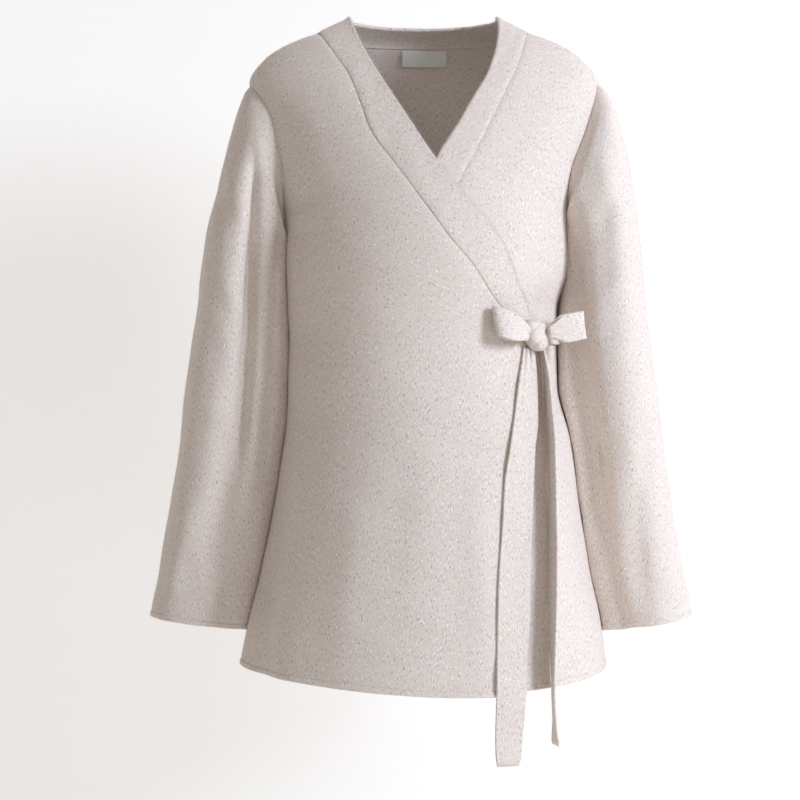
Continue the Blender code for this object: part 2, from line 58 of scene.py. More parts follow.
# Body sections: height, half width, centre, front depth, back depth
BODY = np.array([
    (-700, 199.0, 0.0, 153, 138),
    (-665, 193.0, 0.0, 150, 135),
    (-618, 185.0, 1.7, 146, 131),
    (-565, 173.5, 2.7, 140, 127),
    (-512, 163.5, 3.5, 134, 120),
    (-426, 151.0, 5.0, 124, 108),
    (-369, 142.5, 0.0, 118, 97),
    (-320, 141.5, -0.5, 115, 92),
    (-290, 142.0, -1.5, 117, 94),
    (-250, 149.0, 3.5, 122, 102),
    (-215, 150.0, 4.3, 121, 107),
    (-190, 152.0, 3.2, 116, 110),
    (-150, 162.0, 3.5, 106, 111),
    (-100, 178.0, 3.0, 88, 108),
    (-50, 184.0, 1.0, 66, 99),
    (-25, 167.0, 0.0, 53, 90),
    (-12, 148.0, 0.0, 44, 82),
    (4, 110.0, 0.0, 32, 70),
    (20, 77.0, 0.0, 18, 38),
    (24, 70.0, 0.0, 12, 30),
], float)

# Soft folds of the body: angle at the top, angle at the bottom, half width in degrees,
# height of the ridge (a trough is negative), top, bottom
BODY_FOLDS = [
    (-64, -42, 8, 4.0, -350, -760),
    (-74, -50, 7, -4.5, -480, -740),
    (17, 20, 8, 3.0, -420, -760),
    (128, 134, 10, 4.0, -380, -760),
    (150, 152, 9, -4.0, -420, -760),
    (176, 172, 11, 4.5, -360, -760),
    (-152, -150, 9, -4.0, -400, -760),
    (-128, -132, 10, 4.0, -440, -760),
]

# Neckband: seam x, seam height, free edge x, free edge height
RIGHT_BAND = np.array([
    (101, -317, 110, -315),
    (87, -301, 105, -290),
    (71, -280, 96, -264),
    (51, -249, 78, -222),
    (29, -223, 60, -198),
    (7, -193, 38, -172),
    (-21, -154, 11, -137),
    (-51, -112, -19, -90),
    (-63, -81, -35, -64),
    (-75, -50, -50, -39),
    (-92, -24, -66, -9),
    (-101, -10, -72, 6),
    (-110, 4, -77, 20),
], float)
LEFT_BAND = np.array([
    (-88, -317, -97, -315),
    (-72, -301, -90, -290),
    (-52, -280, -77, -262),
    (-30, -249, -57, -222),
    (-8, -223, -38, -197),
    (15, -193, -14, -170),
    (33, -168, 8, -148),
    (45, -146, 20, -126),
    (58, -121, 34, -104),
    (74, -88, 49, -77),
    (88, -59, 69, -40),
    (100, -31, 77, -11),
    (106, -9, 79, 8),
    (110, 4, 77, 20),
], float)
BACK_SEAM_DROP = 6.5  # how far the back neck seam dips below the shoulder corners
BACK_EDGE_DROP = 5.0
BAND_TOP = 20.0

# Free edge of each front below its band: height, x
RIGHT_FREE_EDGE = np.array([(-680, 90), (-487, 99), (-318, 109)], float)
LEFT_FREE_EDGE = np.array([(-680, -92), (-487, -97), (-318, -98)], float)

HEM = -664.0
OUTER_HEM_DROP = 4.0
SHOULDER_CORNER = 4.0
NECK_ROW = 2.5

# Slit in the right side seam that lets the under tie out
SLIT_HEIGHT = -269.0
SLIT_HALF_LENGTH = 11.0
SLIT_HALF = 5.5

# Armholes: top, bottom, then how far each reaches forward and back, in degrees, and how much
# further its upper end reaches than its lower end
ARMHOLES = {
    -1: dict(top=-53.0, bottom=-216.0, front=25.0, front_lean=12.0, back=20.0, back_lean=5.0),
    1: dict(top=-50.0, bottom=-192.0, front=22.0, front_lean=-6.0, back=20.0, back_lean=3.0),
}

# Sleeve rings, armhole to cuff: outer x, outer height, inner x, inner height, middle y,
# half depth
RIGHT_SLEEVE = np.array([
    (-183.4, -53, -146.0, -216, 0, 48),
    (-194.5, -80, -150.5, -224, -1, 54),
    (-205.5, -118, -151.5, -238, 0, 57),
    (-216.0, -161, -151.0, -256, 1, 58),
    (-229.5, -217, -149.5, -286, 3, 58),
    (-239.0, -292, -147.5, -335, 5, 56),
    (-251.0, -371, -150.0, -400, 7, 53),
    (-259.7, -448, -158.0, -471, 8, 50),
    (-270.3, -511, -168.5, -531, 9, 47),
    (-280.0, -567, -180.0, -585, 10, 45),
    (-289.0, -614, -190.0, -628, 10, 43),
], float)
LEFT_SLEEVE = np.array([
    (184.5, -50, 155.0, -192, 0, 46),
    (198.0, -70, 159.0, -201, -1, 53),
    (209.0, -102, 159.5, -216, 0, 57),
    (219.0, -146, 159.0, -238, 1, 58),
    (228.5, -215, 156.5, -272, 3, 58),
    (235.5, -292, 151.0, -330, 5, 56),
    (247.0, -376, 154.0, -400, 7, 53),
    (256.5, -448, 166.0, -471, 8, 50),
    (266.0, -513, 175.0, -535, 9, 47),
    (276.0, -569, 186.0, -588, 10, 45),
    (285.0, -614, 197.0, -629, 10, 43),
], float)
CAP_ROWS = 3.0  # the sleeve keeps some of the armhole's shape over this many table rows

# Soft folds of a sleeve: angle about it at the top and bottom (0 outwards, 90 to the front),
# half width in degrees, height (a trough is negative), first and last table row
RIGHT_SLEEVE_FOLDS = [
    (105, 96, 16, -6.0, 1.6, 9.0),
    (96, 130, 16, -3.0, 7.0, 12.0),
    (138, 118, 12, 3.5, 2.0, 9.0),
    (40, 55, 16, 3.0, 3.0, 12.0),
    (250, 262, 18, -5.0, 1.6, 12.0),
    (300, 292, 16, 3.5, 2.0, 12.0),
]
LEFT_SLEEVE_FOLDS = [
    (142, 112, 18, -6.0, 2.0, 8.0),
    (112, 122, 16, -4.5, 6.0, 12.0),
    (70, 84, 16, 3.0, 1.6, 12.0),
    (262, 250, 18, -5.0, 1.6, 12.0),
    (295, 300, 16, 3.5, 2.0, 12.0),
]

# Under tie: angle, height, distance out of the body surface, width. It starts at the under
# front's hidden edge, leaves by the slit at -90 and runs round the back to the knot.
UNDER_TIE = np.array([
    (-45.5, -313, -0.4, 26),
    (-50.0, -310, -1.7, 26),
    (-56.0, -306, -2.8, 26),
    (-66.0, -296, -3.1, 22),
    (-78.0, -280, -3.4, 16),
    (-84.0, -271, -3.6, 14),
    (-87.2, -269, -3.3, 14),
    (-93.4, -269, 3.3, 14),
    (-98.0, -269, 3.5, 15),
    (-108.0, -271, 3.5, 20),
    (-124.0, -277, 3.5, 27),
    (-150.0, -287, 3.5, 30),
    (-180.0, -296, 3.5, 30),
    (-215.0, -303, 3.5, 30),
    (-250.0, -309, 3.5, 30),
    (-275.0, -313, 3.5, 27),
    (-292.0, -316, 3.5, 22),
    (-300.0, -317, 3.5, 18),
    (-306.5, -318, 5.0, 14),
], float)
# Long tail: x, height, width; it lies on the outer front and hangs free below the hem
TAIL_LEAVES = -676.0  # a tail leaves the cloth at this height and hangs straight down
LONG_TAIL = np.array([
    (109.6, -331.0, 12),
    (109.0, -350, 15),
    (107.5, -371, 20),
    (108.0, -388, 25),
    (107.5, -405, 29),
    (102.0, -450, 30),
    (94.5, -506, 30),
    (90.5, -566, 30),
    (88.6, -626, 30),
    (87.9, -683, 30),
    (87.5, -718, 30),
    (86.5, -752, 28),
], float)

# Short tail, seen edge on: x of its near edge, height, width, lean of the width to the left
SHORT_TAIL = np.array([
    (122.8, -329, 13, 12),
    (129.0, -362, 24, 14),
    (132.5, -405, 28, 16),
    (134.5, -430, 28, 16),
    (134.0, -508, 28, 14),
    (132.5, -600, 28, 12),
    (131.5, -679, 28, 3),
    (133.0, -706, 28, 4),
    (136.5, -733, 24, 16),
], float)

# Bow. The knot and left loop lie on the body surface at x, height, this far out of it.
KNOT = dict(x=107.0, height=-318.5, out=13.4, half_width=13.0, half_height=14.5, half_depth=8.6)
KNOT_NARROWS = 0.28  # share of its width that is gone at its lower tip
KNOT_LEANS = 3.5  # how far that tip lies to the left
KNOT_CREASE = dict(depth=0.12, slant=0.25, half_width=0.25)
LEFT_LOOP = dict(root=(97.9, -317.0), tip=(63.0, -303.5), out=14.6, gap=8.0)
LEFT_LOOP_WIDTHS = np.array([(0.0, 15), (0.35, 26), (0.7, 32), (1.0, 33)], float)
RIGHT_LOOP = dict(root=(128.0, -88.0, -315.5), tip=(172.0, -69.0, -307.5), gap=5.5)
RIGHT_LOOP_WIDTHS = np.array([(0.0, 10), (0.25, 20), (0.5, 29), (1.0, 29)], float)
LOOP_ENDS, LOOP_BELLY = 0.4, 0.9  # half gap of a loop at the knot, and what it gains on the way

# Label on the inside of the back, below the neck seam
LABEL_CENTRE = 1.6
LABEL_WIDTH = 49.0
LABEL_TOP = -3.2
LABEL_BOTTOM = -20.0
LABEL_IN = -2.4

# Points of a shell: their usual spacing, and extra ones near a rounded edge, from that edge
STEP = 5.0
RIM = np.array([0.0, 0.25, 0.6, 1.1, 2.0, 3.2])
HEM_ROWS = np.array([0.0, 0.25, 0.6, 1.1, 2.0, 3.2, 4.4, 5.2, 5.8, 6.3, 6.9, 8.0, 10.0])
LOWER_COUNT = 92
ARMHOLE_COUNT = 34
SHOULDER_COUNT = 12
SLEEVE_TURNS = 68
SLEEVE_ROW = 57.0  # mm along a sleeve for one row of its table
CUFF_ROW = 48.0

# Turned hem and cuff: depth of the turning, how much it thickens the wall, and the groove
# where its stitches pull the cloth in
TURNING = 5.8
TURNING_FULL = 0.45
GROOVE = 0.45
GROOVE_WIDE = 0.9

# Cloth beside a seam sinks towards it
SEAM_SINKS = 0.8
SEAM_SOFT = 2.6
SEAM_MEETS = -0.15  # half gap between two sewn edges, which press together
SLEEVE_SEAT = 0.5  # the sleeve head stands this far out of the panels at the armhole

# Long tail as it hangs: height, and x of its left and right edge
TAIL_EDGES = np.array([
    (-751.7, 74.0, 96.0),
    (-742, 72.6, 98.5),
    (-725, 72.1, 100.0),
    (-685, 73.1, 103.2),
    (-628, 74.0, 103.5),
    (-569, 75.6, 104.0),
    (-508, 80.0, 107.5),
    (-467, 82.5, 109.5),
    (-436, 87.6, 114.0),
    (-405, 92.3, 118.0),
    (-372, 97.0, 118.0),
    (-350, 100.5, 116.5),
    (-331, 103.5, 114.5),
])
SHORT_TAIL_SHIFT = -0.5
EDGE_GOES_ON = 9.5  # the outer front's free edge lies this far beyond the tail's middle
SLEEVE_TOUCHES = 2.15  # a sleeve's wall lies this far out of the body's, middle to middle
SLEEVE_PULL = 11.0  # most that the sleeve's inner side is pulled to the body

# Small creases: x and height of one end, of the other end, half width, height (a trough is
# negative). They are placed where the cloth is pulled or hangs slack.
CREASES = {
    "front_right": [
        (96, -322, 60, -352, 7, -1.3), (98, -330, 66, -392, 8, -1.4), (94, -318, 40, -330, 8, -1.0),
        (-118, -268, -84, -300, 9, -1.2), (-120, -262, -70, -270, 9, -1.1),
        (-150, -196, -112, -170, 9, -1.6), (-146, -206, -96, -214, 10, -1.4),
        (-20, -430, -34, -600, 16, -1.0), (36, -440, 40, -640, 15, -1.1), (-64, -470, -84, -650, 15, 1.2),
    ],
    "front_left": [
        (112, -312, 122, -268, 5, -1.6), (120, -316, 134, -262, 6, 1.3), (116, -306, 112, -262, 6, 1.0),
        (148, -186, 104, -160, 9, -1.6), (146, -196, 96, -198, 10, -1.3),
        (140, -340, 150, -520, 9, -1.6), (124, -380, 132, -640, 10, 1.4),
    ],
    "back": [
        (-120, -250, -40, -300, 14, -1.8), (118, -240, 36, -292, 14, -1.8), (-60, -236, 50, -262, 16, -1.5),
        (-146, -190, -84, -150, 12, -1.8), (146, -172, 84, -136, 12, -1.8),
        (-60, -330, -84, -560, 16, 1.8), (20, -330, 12, -600, 18, -1.8), (84, -330, 104, -560, 16, 1.6),
        (-112, -340, -130, -620, 12, -1.6), (-16, -318, -26, -480, 12, 1.4), (56, -322, 62, -470, 12, -1.4),
    ],
    "sleeve_right": [
        (-176, -140, -179, -300, 6, -11), (-178, -262, -192, -450, 6.5, -11),
        (-150, -215, -153, -340, 8, -9), (-154, -310, -168, -470, 9, -9),
        (-205, -120, -214, -330, 16, 2.5),
        (-200, -400, -214, -590, 13, -3.0),
        (-224, -150, -176, -232, 11, -1.8), (-232, -240, -180, -300, 10, 1.4), (-214, -330, -176, -350, 12, -1.4),
        (-240, -380, -196, -420, 12, 1.3), (-236, -470, -262, -590, 10, 1.6), (-212, -460, -226, -600, 9, -1.5),
    ],
    "sleeve_left": [
        (158, -200, 164, -380, 11, -8.0), (166, -330, 184, -540, 13, -8.0),
        (214, -150, 226, -400, 16, 3.0), (224, -420, 232, -600, 13, -3.0),
        (222, -140, 180, -210, 11, -1.6), (226, -230, 184, -286, 10, 1.3), (232, -330, 190, -352, 12, -1.4),
        (244, -400, 206, -430, 12, 1.3), (240, -480, 262, -596, 10, 1.5), (222, -470, 232, -606, 9, -1.5),
    ],
    "sleeve_back": [
        (0.30, -170, 0.72, -236, 12, -2.2), (0.22, -300, 0.66, -340, 12, -2.0), (0.4, -360, 0.85, -392, 12, 1.8),
        (0.3, -440, 0.4, -600, 10, 1.8), (0.62, -450, 0.66, -590, 9, -1.6),
    ],
}
UNEVEN = 0.5  # soft unevenness of laid cloth, and how long its waves are
UNEVEN_WAVE = 62.0

# Nap: loose fibres that stand out of the felted face. A real fibre is 0.02 mm thick, too fine to
# show, so each one stands for a few.
NAP_EACH_M2 = 105000.0
NAP_LENGTH = 2.6
NAP_THICK = 0.15
EDGE_NAP = 15.0  # times as many on the neck's folded edges
EDGE_NAP_WIDE = 3.0
INSIDE_NAP = 0.25

# Linking stitches in a seam, and the finer ones that hold a turning
LINK = dict(pitch=2.7, length=2.0, radius=0.34)
HEMMING = dict(pitch=3.4, length=1.5, radius=0.2)
LABEL_STITCH = dict(pitch=1.7, length=1.3, radius=0.16)


def smooth(rows, column, at, by=0):
    """A column of a table read along another one through a smooth curve that never overshoots."""
    x, y = rows[:, by], rows[:, column]
    at = np.clip(np.asarray(at, float), x[0], x[-1])
    step = np.diff(x)
    slope = np.diff(y) / step
    tangent = np.concatenate([slope[:1], np.zeros(len(x) - 2), slope[-1:]])
    same_way = slope[:-1] * slope[1:] > 0
    before, after = slope[:-1][same_way], slope[1:][same_way]
    tangent[1:-1][same_way] = 2 * before * after / (before + after)
    k = np.clip(np.searchsorted(x, at, side="right") - 1, 0, len(step) - 1)
    t = (at - x[k]) / step[k]
    start = (1 + 2 * t) * (1 - t) ** 2 * y[k] + t * (1 - t) ** 2 * step[k] * tangent[k]
    end = t * t * (3 - 2 * t) * y[k + 1] - t * t * (1 - t) * step[k] * tangent[k + 1]
    return start + end


def ease(value, low, high):
    """0 below low, 1 above high, and smooth between."""
    t = np.clip((np.asarray(value, float) - low) / (high - low), 0, 1)
    return t * t * (3 - 2 * t)


def unit(vectors):
    return vectors / np.linalg.norm(vectors, axis=-1, keepdims=True)


def turned(angle, about):
    """The angle as a difference from another one, between -180 and 180."""
    return (angle - about + 180) % 360 - 180


def body_middle(angle, height):
    """A point of the smooth body, without folds."""
    radians = np.radians(angle)
    front = np.cos(radians) > 0
    depth = np.where(front, smooth(BODY, 3, height), smooth(BODY, 4, height))
    x = smooth(BODY, 2, height) + smooth(BODY, 1, height) * np.sin(radians)
    return np.stack([x, -depth * np.cos(radians), height], axis=-1)


def body_normal(angle, height):
    tiny = 0.05
    across = body_middle(angle + tiny, height) - body_middle(angle - tiny, height)
    up = body_middle(angle, height + tiny) - body_middle(angle, height - tiny)
    return unit(np.cross(across, up))


def body_fold(angle, height):
    """How far the folds lift the cloth out of the smooth body."""
    lift = np.zeros(np.broadcast(angle, height).shape)
    for top_angle, bottom_angle, half, depth, top, bottom in BODY_FOLDS:
        down = np.clip((top - height) / (top - bottom), 0, 1)
        about = top_angle + (bottom_angle - top_angle) * down
        across = np.exp(-((turned(angle, about) / half) ** 2))
        lift = lift + depth * across * ease(down, 0, 0.35)
    return lift


def body_point(angle, height, out=0.0):
    angle, height = np.broadcast_arrays(np.asarray(angle, float), np.asarray(height, float))
    away = (body_fold(angle, height) + out)[..., None]
    return body_middle(angle, height) + body_normal(angle, height) * away


def front_angle(x, height):
    """The angle of a place on the front, from its x."""
    share = (x - smooth(BODY, 2, height)) / smooth(BODY, 1, height)
    return np.degrees(np.arcsin(np.clip(share, -1, 1)))


def layer(side, angle, height):
    """How far a front lies outside the body surface: the right one laps over the left one."""
    if side > 0:
        return np.zeros(np.broadcast(angle, height).shape)
    return LAYER * ease(angle, -60, -38) * (1 - ease(height, -110, -40))


def hem_height(angle):
    radians = np.radians(angle)
    forward = np.maximum(np.cos(radians), 0)
    backward = np.maximum(-np.cos(radians), 0)
    return HEM - 15 * forward ** 1.5 - 6 * np.sin(radians) * forward - 5 * backward


def armhole(side, turn):
    """Angle and height on the armhole: turn 0 at the shoulder, 90 in front, 180 under the arm."""
    size = ARMHOLES[side]
    radians = np.radians(np.asarray(turn, float))
    height = (size["top"] + size["bottom"]) / 2
    height = height + (size["top"] - size["bottom"]) / 2 * np.cos(radians)
    front = size["front"] + size["front_lean"] * np.cos(radians)
    back = size["back"] + size["back_lean"] * np.cos(radians)
    reach = np.where(np.sin(radians) >= 0, front, back) * np.sin(radians)
    return side * (90 - reach), height


def front_edge(side, heights):
    """x of a front's inner boundary at each height: the band's seam, then the free edge."""
    band, free = (RIGHT_BAND, RIGHT_FREE_EDGE) if side < 0 else (LEFT_BAND, LEFT_FREE_EDGE)
    seam = smooth(band, 0, heights, by=1) + side * 0.5
    return np.where(heights > band[0, 1] - 0.1, seam, smooth(free, 1, heights))


def back_dip(angle, drop):
    """How far the back neck lies below its ends."""
    return drop * np.maximum(-np.cos(np.radians(angle)), 0) ** 0.8


def surface_frame(angle, height):
    """Directions on the body surface: level across it, and up it."""
    out = body_normal(angle, height)
    level = unit(np.cross(np.array([0.0, 0.0, 1.0]), out))
    return level, unit(np.cross(out, level)), out


def sleeve_point(side, turn, row):
    """A point of a sleeve: turn is the angle about it, row runs down its table."""
    table = RIGHT_SLEEVE if side < 0 else LEFT_SLEEVE
    folds = RIGHT_SLEEVE_FOLDS if side < 0 else LEFT_SLEEVE_FOLDS
    table = np.column_stack([np.arange(len(table)), table])
    radians = np.radians(turn)

    def ring(at):
        outer = np.stack([smooth(table, 1, at), smooth(table, 5, at), smooth(table, 2, at)], -1)
        inner = np.stack([smooth(table, 3, at), smooth(table, 5, at), smooth(table, 4, at)], -1)
        deep = smooth(table, 6, at)[..., None] * np.array([0.0, -1.0, 0.0])
        cosine, sine = np.cos(radians)[..., None], np.sin(radians)[..., None]
        return (outer + inner) / 2, (outer - inner) / 2 * cosine + deep * sine

    centre, spoke = ring(row)
    lift = np.zeros(np.broadcast(turn, row).shape)
    for top_turn, bottom_turn, half, depth, first, last in folds:
        down = np.clip((row - first) / (last - first), 0, 1)
        about = top_turn + (bottom_turn - top_turn) * down
        fade = ease(down, 0, 0.3) * (1 - ease(row, last - 1.5, last))
        lift = lift + depth * np.exp(-((turned(turn, about) / half) ** 2)) * fade
    point = centre + spoke + unit(spoke) * lift[..., None]
    first_centre, first_spoke = ring(np.zeros(np.shape(row)))
    hole_angle, hole_height = armhole(side, turn)
    hole = body_point(hole_angle, hole_height, WALL + SEAM)
    keep = (np.clip(1 - row / CAP_ROWS, 0, 1) ** 2)[..., None]
    return point + keep * (hole - first_centre - first_spoke)


def spaced(length, step=STEP):
    """Shares of a length, closer together at both ends, where an edge is rounded."""
    count = max(2, round((length - 2 * RIM[-1]) / step))
    inside = np.linspace(RIM[-1], length - RIM[-1], count + 1)
    return np.concatenate([RIM[:-1], inside, length - RIM[-2::-1]]) / length


def run(points, axis):
    """How far each point of a grid lies along its rows or columns."""
    steps = np.linalg.norm(np.diff(points, axis=axis), axis=2)
    start = np.zeros_like(np.take(steps, [0], axis=axis))
    return np.concatenate([start, np.cumsum(steps, axis=axis)], axis=axis)


def rounded(distance, half):
    """Half thickness of a cloth whose edge is round, at a distance from that edge."""
    inside = np.clip(distance / half, 0, 1)
    return half * np.sqrt(np.clip(1 - (1 - inside) ** 2, 0.03, 1))


def turning(distance):
    """Share by which a turned hem thickens the cloth at a distance from its edge."""
    full = TURNING_FULL * (1 - ease(distance, TURNING - 1.0, TURNING + 0.4))
    return full - GROOVE * np.exp(-((distance - TURNING - 0.3) / GROOVE_WIDE) ** 2)


def sunk(distance):
    """How far cloth sinks beside a seam, at a distance from it."""
    return -SEAM_SINKS * np.exp(-((distance / SEAM_SOFT) ** 2))


def uneven(across, up, seed, wave=UNEVEN_WAVE):
    """Soft unevenness about 1 high, from a few long waves that cross each other."""
    chance = np.random.default_rng(seed)
    total = np.zeros(np.shape(across))
    for _ in range(8):
        heading, phase = chance.uniform(0, 2 * math.pi, 2)
        number = 2 * math.pi / (wave * chance.uniform(0.6, 1.7))
        total += np.sin((across * math.cos(heading) + up * math.sin(heading)) * number + phase)
    return total / 3


def crease(rows, across, up):
    """Small troughs and ridges along straight lines on the cloth, deepest in their middle."""
    lift = np.zeros(np.shape(across))
    for x, z, far_x, far_z, half, height in rows:
        length = math.hypot(far_x - x, far_z - z)
        along_x, along_z = (far_x - x) / length, (far_z - z) / length
        share = ((across - x) * along_x + (up - z) * along_z) / length
        off = (across - x) * along_z - (up - z) * along_x
        lift += height * np.exp(-((off / half) ** 2) - ((share - 0.5) / 0.5) ** 4)
    return lift


def colour(code):
    """The linear colour of an sRGB hex value."""
    parts = [int(code[i:i + 2], 16) / 255 for i in (1, 3, 5)]
    return tuple(c / 12.92 if c <= 0.04045 else ((c + 0.055) / 1.055) ** 2.4 for c in parts)


def placed(name, mesh):
    """A smooth mesh as an object of the scene."""
    mesh.shade_smooth()
    made = bpy.data.objects.new(name, mesh)
    bpy.context.scene.collection.objects.link(made)
    return made


def grid_normal(middle, closed=False):
    """Normals of a grid of points, rows by columns."""
    if closed:
        wide = np.concatenate([middle[:, -1:], middle, middle[:, :1]], axis=1)
        across = wide[:, 2:] - wide[:, :-2]
    else:
        across = np.gradient(middle, axis=1)
    return unit(np.cross(across, np.gradient(middle, axis=0)))


def cloth_shell(name, middle, normal, half, closed=False, nap=1.0, edge_nap=None):
    """A thin closed shell on a grid of points. Its UV map is the cloth laid flat, in mm. The
    attribute nap says how thick the nap is on each face."""
    rows, columns = middle.shape[:2]
    count = rows * columns
    points = np.concatenate([(middle + normal * half[..., None]).reshape(-1, 3),
                             (middle - normal * half[..., None]).reshape(-1, 3)])
    laid = np.concatenate([middle, middle[:, :1]], axis=1) if closed else middle
    u, v = run(laid, 1), run(laid, 0)
    u = u - u[:, [u.shape[1] // 2]]
    flat = np.stack([u, v], axis=-1).reshape(-1, 2)
    wide = laid.shape[1]

    def corners(row, column, side):
        return side * count + row * columns + column % columns, row * wide + column

    down, right = np.meshgrid(np.arange(rows - 1), np.arange(wide - 1), indexing="ij")
    down, right = down.ravel(), right.ravel()
    square = [(0, 0), (0, 1), (1, 1), (1, 0)]
    outer = [corners(down + r, right + c, 0) for r, c in square]
    inner = [corners(down + r, right + c, 1) for r, c in reversed(square)]
    faces = [outer, inner]
    along = np.arange(wide - 1)
    for row, order in ((0, 1), (rows - 1, -1)):
        rim = [corners(row, along, 1), corners(row, along + 1, 1),
               corners(row, along + 1, 0), corners(row, along, 0)]
        faces.append(rim[::order])
    if not closed:
        up = np.arange(rows - 1)
        for column, order in ((0, -1), (columns - 1, 1)):
            rim = [corners(up, column, 1), corners(up + 1, column, 1),
                   corners(up + 1, column, 0), corners(up, column, 0)]
            faces.append(rim[::order])
    vertex = np.concatenate([np.stack([c[0] for c in f], axis=1) for f in faces])
    uv = np.concatenate([np.stack([c[1] for c in f], axis=1) for f in faces])
    triangles = np.concatenate([vertex[:, :3], vertex[:, [0, 2, 3]]])
    if np.linalg.det(points[triangles]).sum() < 0:
        vertex, uv = vertex[:, ::-1], uv[:, ::-1]
    mesh = bpy.data.meshes.new(name)
    mesh.from_pydata((points * MM).tolist(), [], vertex.tolist())
    layer_uv = mesh.uv_layers.new(name="laid_flat")
    layer_uv.data.foreach_set("uv", flat[uv].astype(np.float32).ravel())
    weight = np.full(len(vertex), float(nap))
    weight[len(down):2 * len(down)] *= INSIDE_NAP
    if edge_nap is not None:
        strong = edge_nap[down, np.minimum(right, columns - 1)]
        weight[:len(down)] *= strong
        weight[len(down):2 * len(down)] *= np.maximum(strong, 1)
        weight[2 * len(down):] = EDGE_NAP
    mesh.attributes.new("nap", "FLOAT", "FACE").data.foreach_set("value", weight.astype(np.float32))
    return placed(name, mesh)


def slit(height):
    """Half gap of the right side seam's slit, which lets the under tie out."""
    return SLIT_HALF * np.sqrt(np.clip(1 - ((height - SLIT_HEIGHT) / SLIT_HALF_LENGTH) ** 2, 0, 1))


def panel_side(side, front):
    """Height of each row of a panel on one side of the body, hem to neck, and how far it stops
    short of the side, in degrees."""
    turns = np.linspace(180, 0, ARMHOLE_COUNT)
    hole_angle, hole_height = armhole(side, turns if front else -turns)
    lower = np.linspace(HEM + HEM_ROWS[-1] + STEP, hole_height[0], LOWER_COUNT)[:-1]
    upper = np.linspace(hole_height[-1], NECK_ROW, SHOULDER_COUNT)[1:]
    heights = np.concatenate([HEM + HEM_ROWS, lower, hole_height, upper])
    half_gap = np.full(len(heights), SEAM_MEETS)
    if side < 0:
        half_gap = half_gap + slit(heights)
    reach = np.degrees(half_gap / smooth(BODY, 3 if front else 4, heights))
    start = len(HEM_ROWS) + len(lower)
    reach[start:start + len(turns)] += np.abs(90 - np.abs(hole_angle))
    return heights, reach


def finished_panel(name, angle, height, out, seams, hem_rise):
    """A panel's shell. seams gives each point's distance from the nearest sewn edge."""
    middle = body_point(angle, height, out)
    x, z = middle[..., 0], middle[..., 2]
    lift = crease(CREASES[name], x, z) * ease(z, -690, -640)
    lift = lift + UNEVEN * uneven(x, z, len(name)) * ease(seams(middle), 2, 25)
    normal = body_normal(angle, height)
    middle = middle + normal * (lift + sunk(seams(middle)))[..., None]
    normal = grid_normal(middle)
    normal = normal * np.sign((normal * body_normal(angle, height)).sum(-1, keepdims=True))
    across, up = run(middle, 1), run(middle, 0)
    edge = np.minimum(np.minimum(across, across[:, -1:] - across), np.minimum(up, up[-1:] - up))
    half = rounded(edge, WALL / 2) * (1 + turning(up))
    return cloth_shell(name, middle, normal, half)


def front_panel(name, side):
    heights, reach = panel_side(side, True)
    start = side * (90 - reach)
    edge_x = front_edge(side, heights) - side * 0.7
    if side < 0:
        edge_x = edge_x + EDGE_GOES_ON * (1 - ease(heights, -405, -335))
    end = front_angle(edge_x, heights)
    share = spaced(300)
    angle = start[:, None] + (end - start)[:, None] * share
    low = 1 - ease(heights, HEM, -430)[:, None]
    height = heights[:, None] + (hem_height(angle) - HEM) * low
    if side < 0:
        height = height - OUTER_HEM_DROP * low * ease(angle, -60, 40)
    band = RIGHT_BAND if side < 0 else LEFT_BAND

    def seams(middle):
        across = run(middle, 1)
        sewn = np.where(heights[:, None] > band[0, 1], across[:, -1:] - across, STEP * 9)
        return np.minimum(across, sewn)

    return finished_panel(name, angle, height, layer(side, angle, height), seams, low)


def back_panel(name):
    right_height, right = panel_side(-1, False)
    left_height, left = panel_side(1, False)
    share = spaced(460)
    angle = (-90 - right)[:, None] * (1 - share) + (-270 + left)[:, None] * share
    height = right_height[:, None] * (1 - share) + left_height[:, None] * share
    angle = np.vstack([angle, angle[-1:]])
    height = np.vstack([height, np.full((1, len(share)), SHOULDER_CORNER + 0.3)])
    low = 1 - ease(height, HEM, -430)
    height = height + (hem_height(angle) - HEM) * low
    height = height - back_dip(angle, BACK_SEAM_DROP) * ease(height, -53, -4)

    def seams(middle):
        across, up = run(middle, 1), run(middle, 0)
        return np.minimum(np.minimum(across, across[:, -1:] - across), up[-1:] - up)

    return finished_panel(name, angle, height, 0.0, seams, low)


def band_lines():
    """Seam and free edge of the neckband, up the right front, round the neck and down the left
    front, as angles and heights, and how far each lies out of the body."""
    parts = []
    for side, band in ((-1, RIGHT_BAND), (1, LEFT_BAND)):
        seam = np.linspace(band[0, 1] + 1.5, NECK_ROW, 96)
        edge_x, edge = smooth(band, 2, seam, by=1), smooth(band, 3, seam, by=1)
        seam_angle = front_angle(smooth(band, 0, seam, by=1) + side * 0.3, seam)
        parts.append(np.array([seam_angle, seam, front_angle(edge_x, edge), edge]))
    right, left = parts[0], parts[1][:, ::-1]
    left[[0, 2]] -= 360
    angles = np.linspace(-90, -270, 62)
    seam = SHOULDER_CORNER - back_dip(angles, BACK_SEAM_DROP)
    back = np.array([angles, seam, angles, BAND_TOP - back_dip(angles, BACK_EDGE_DROP)])
    return np.concatenate([right, back, left], axis=1), right.shape[1]


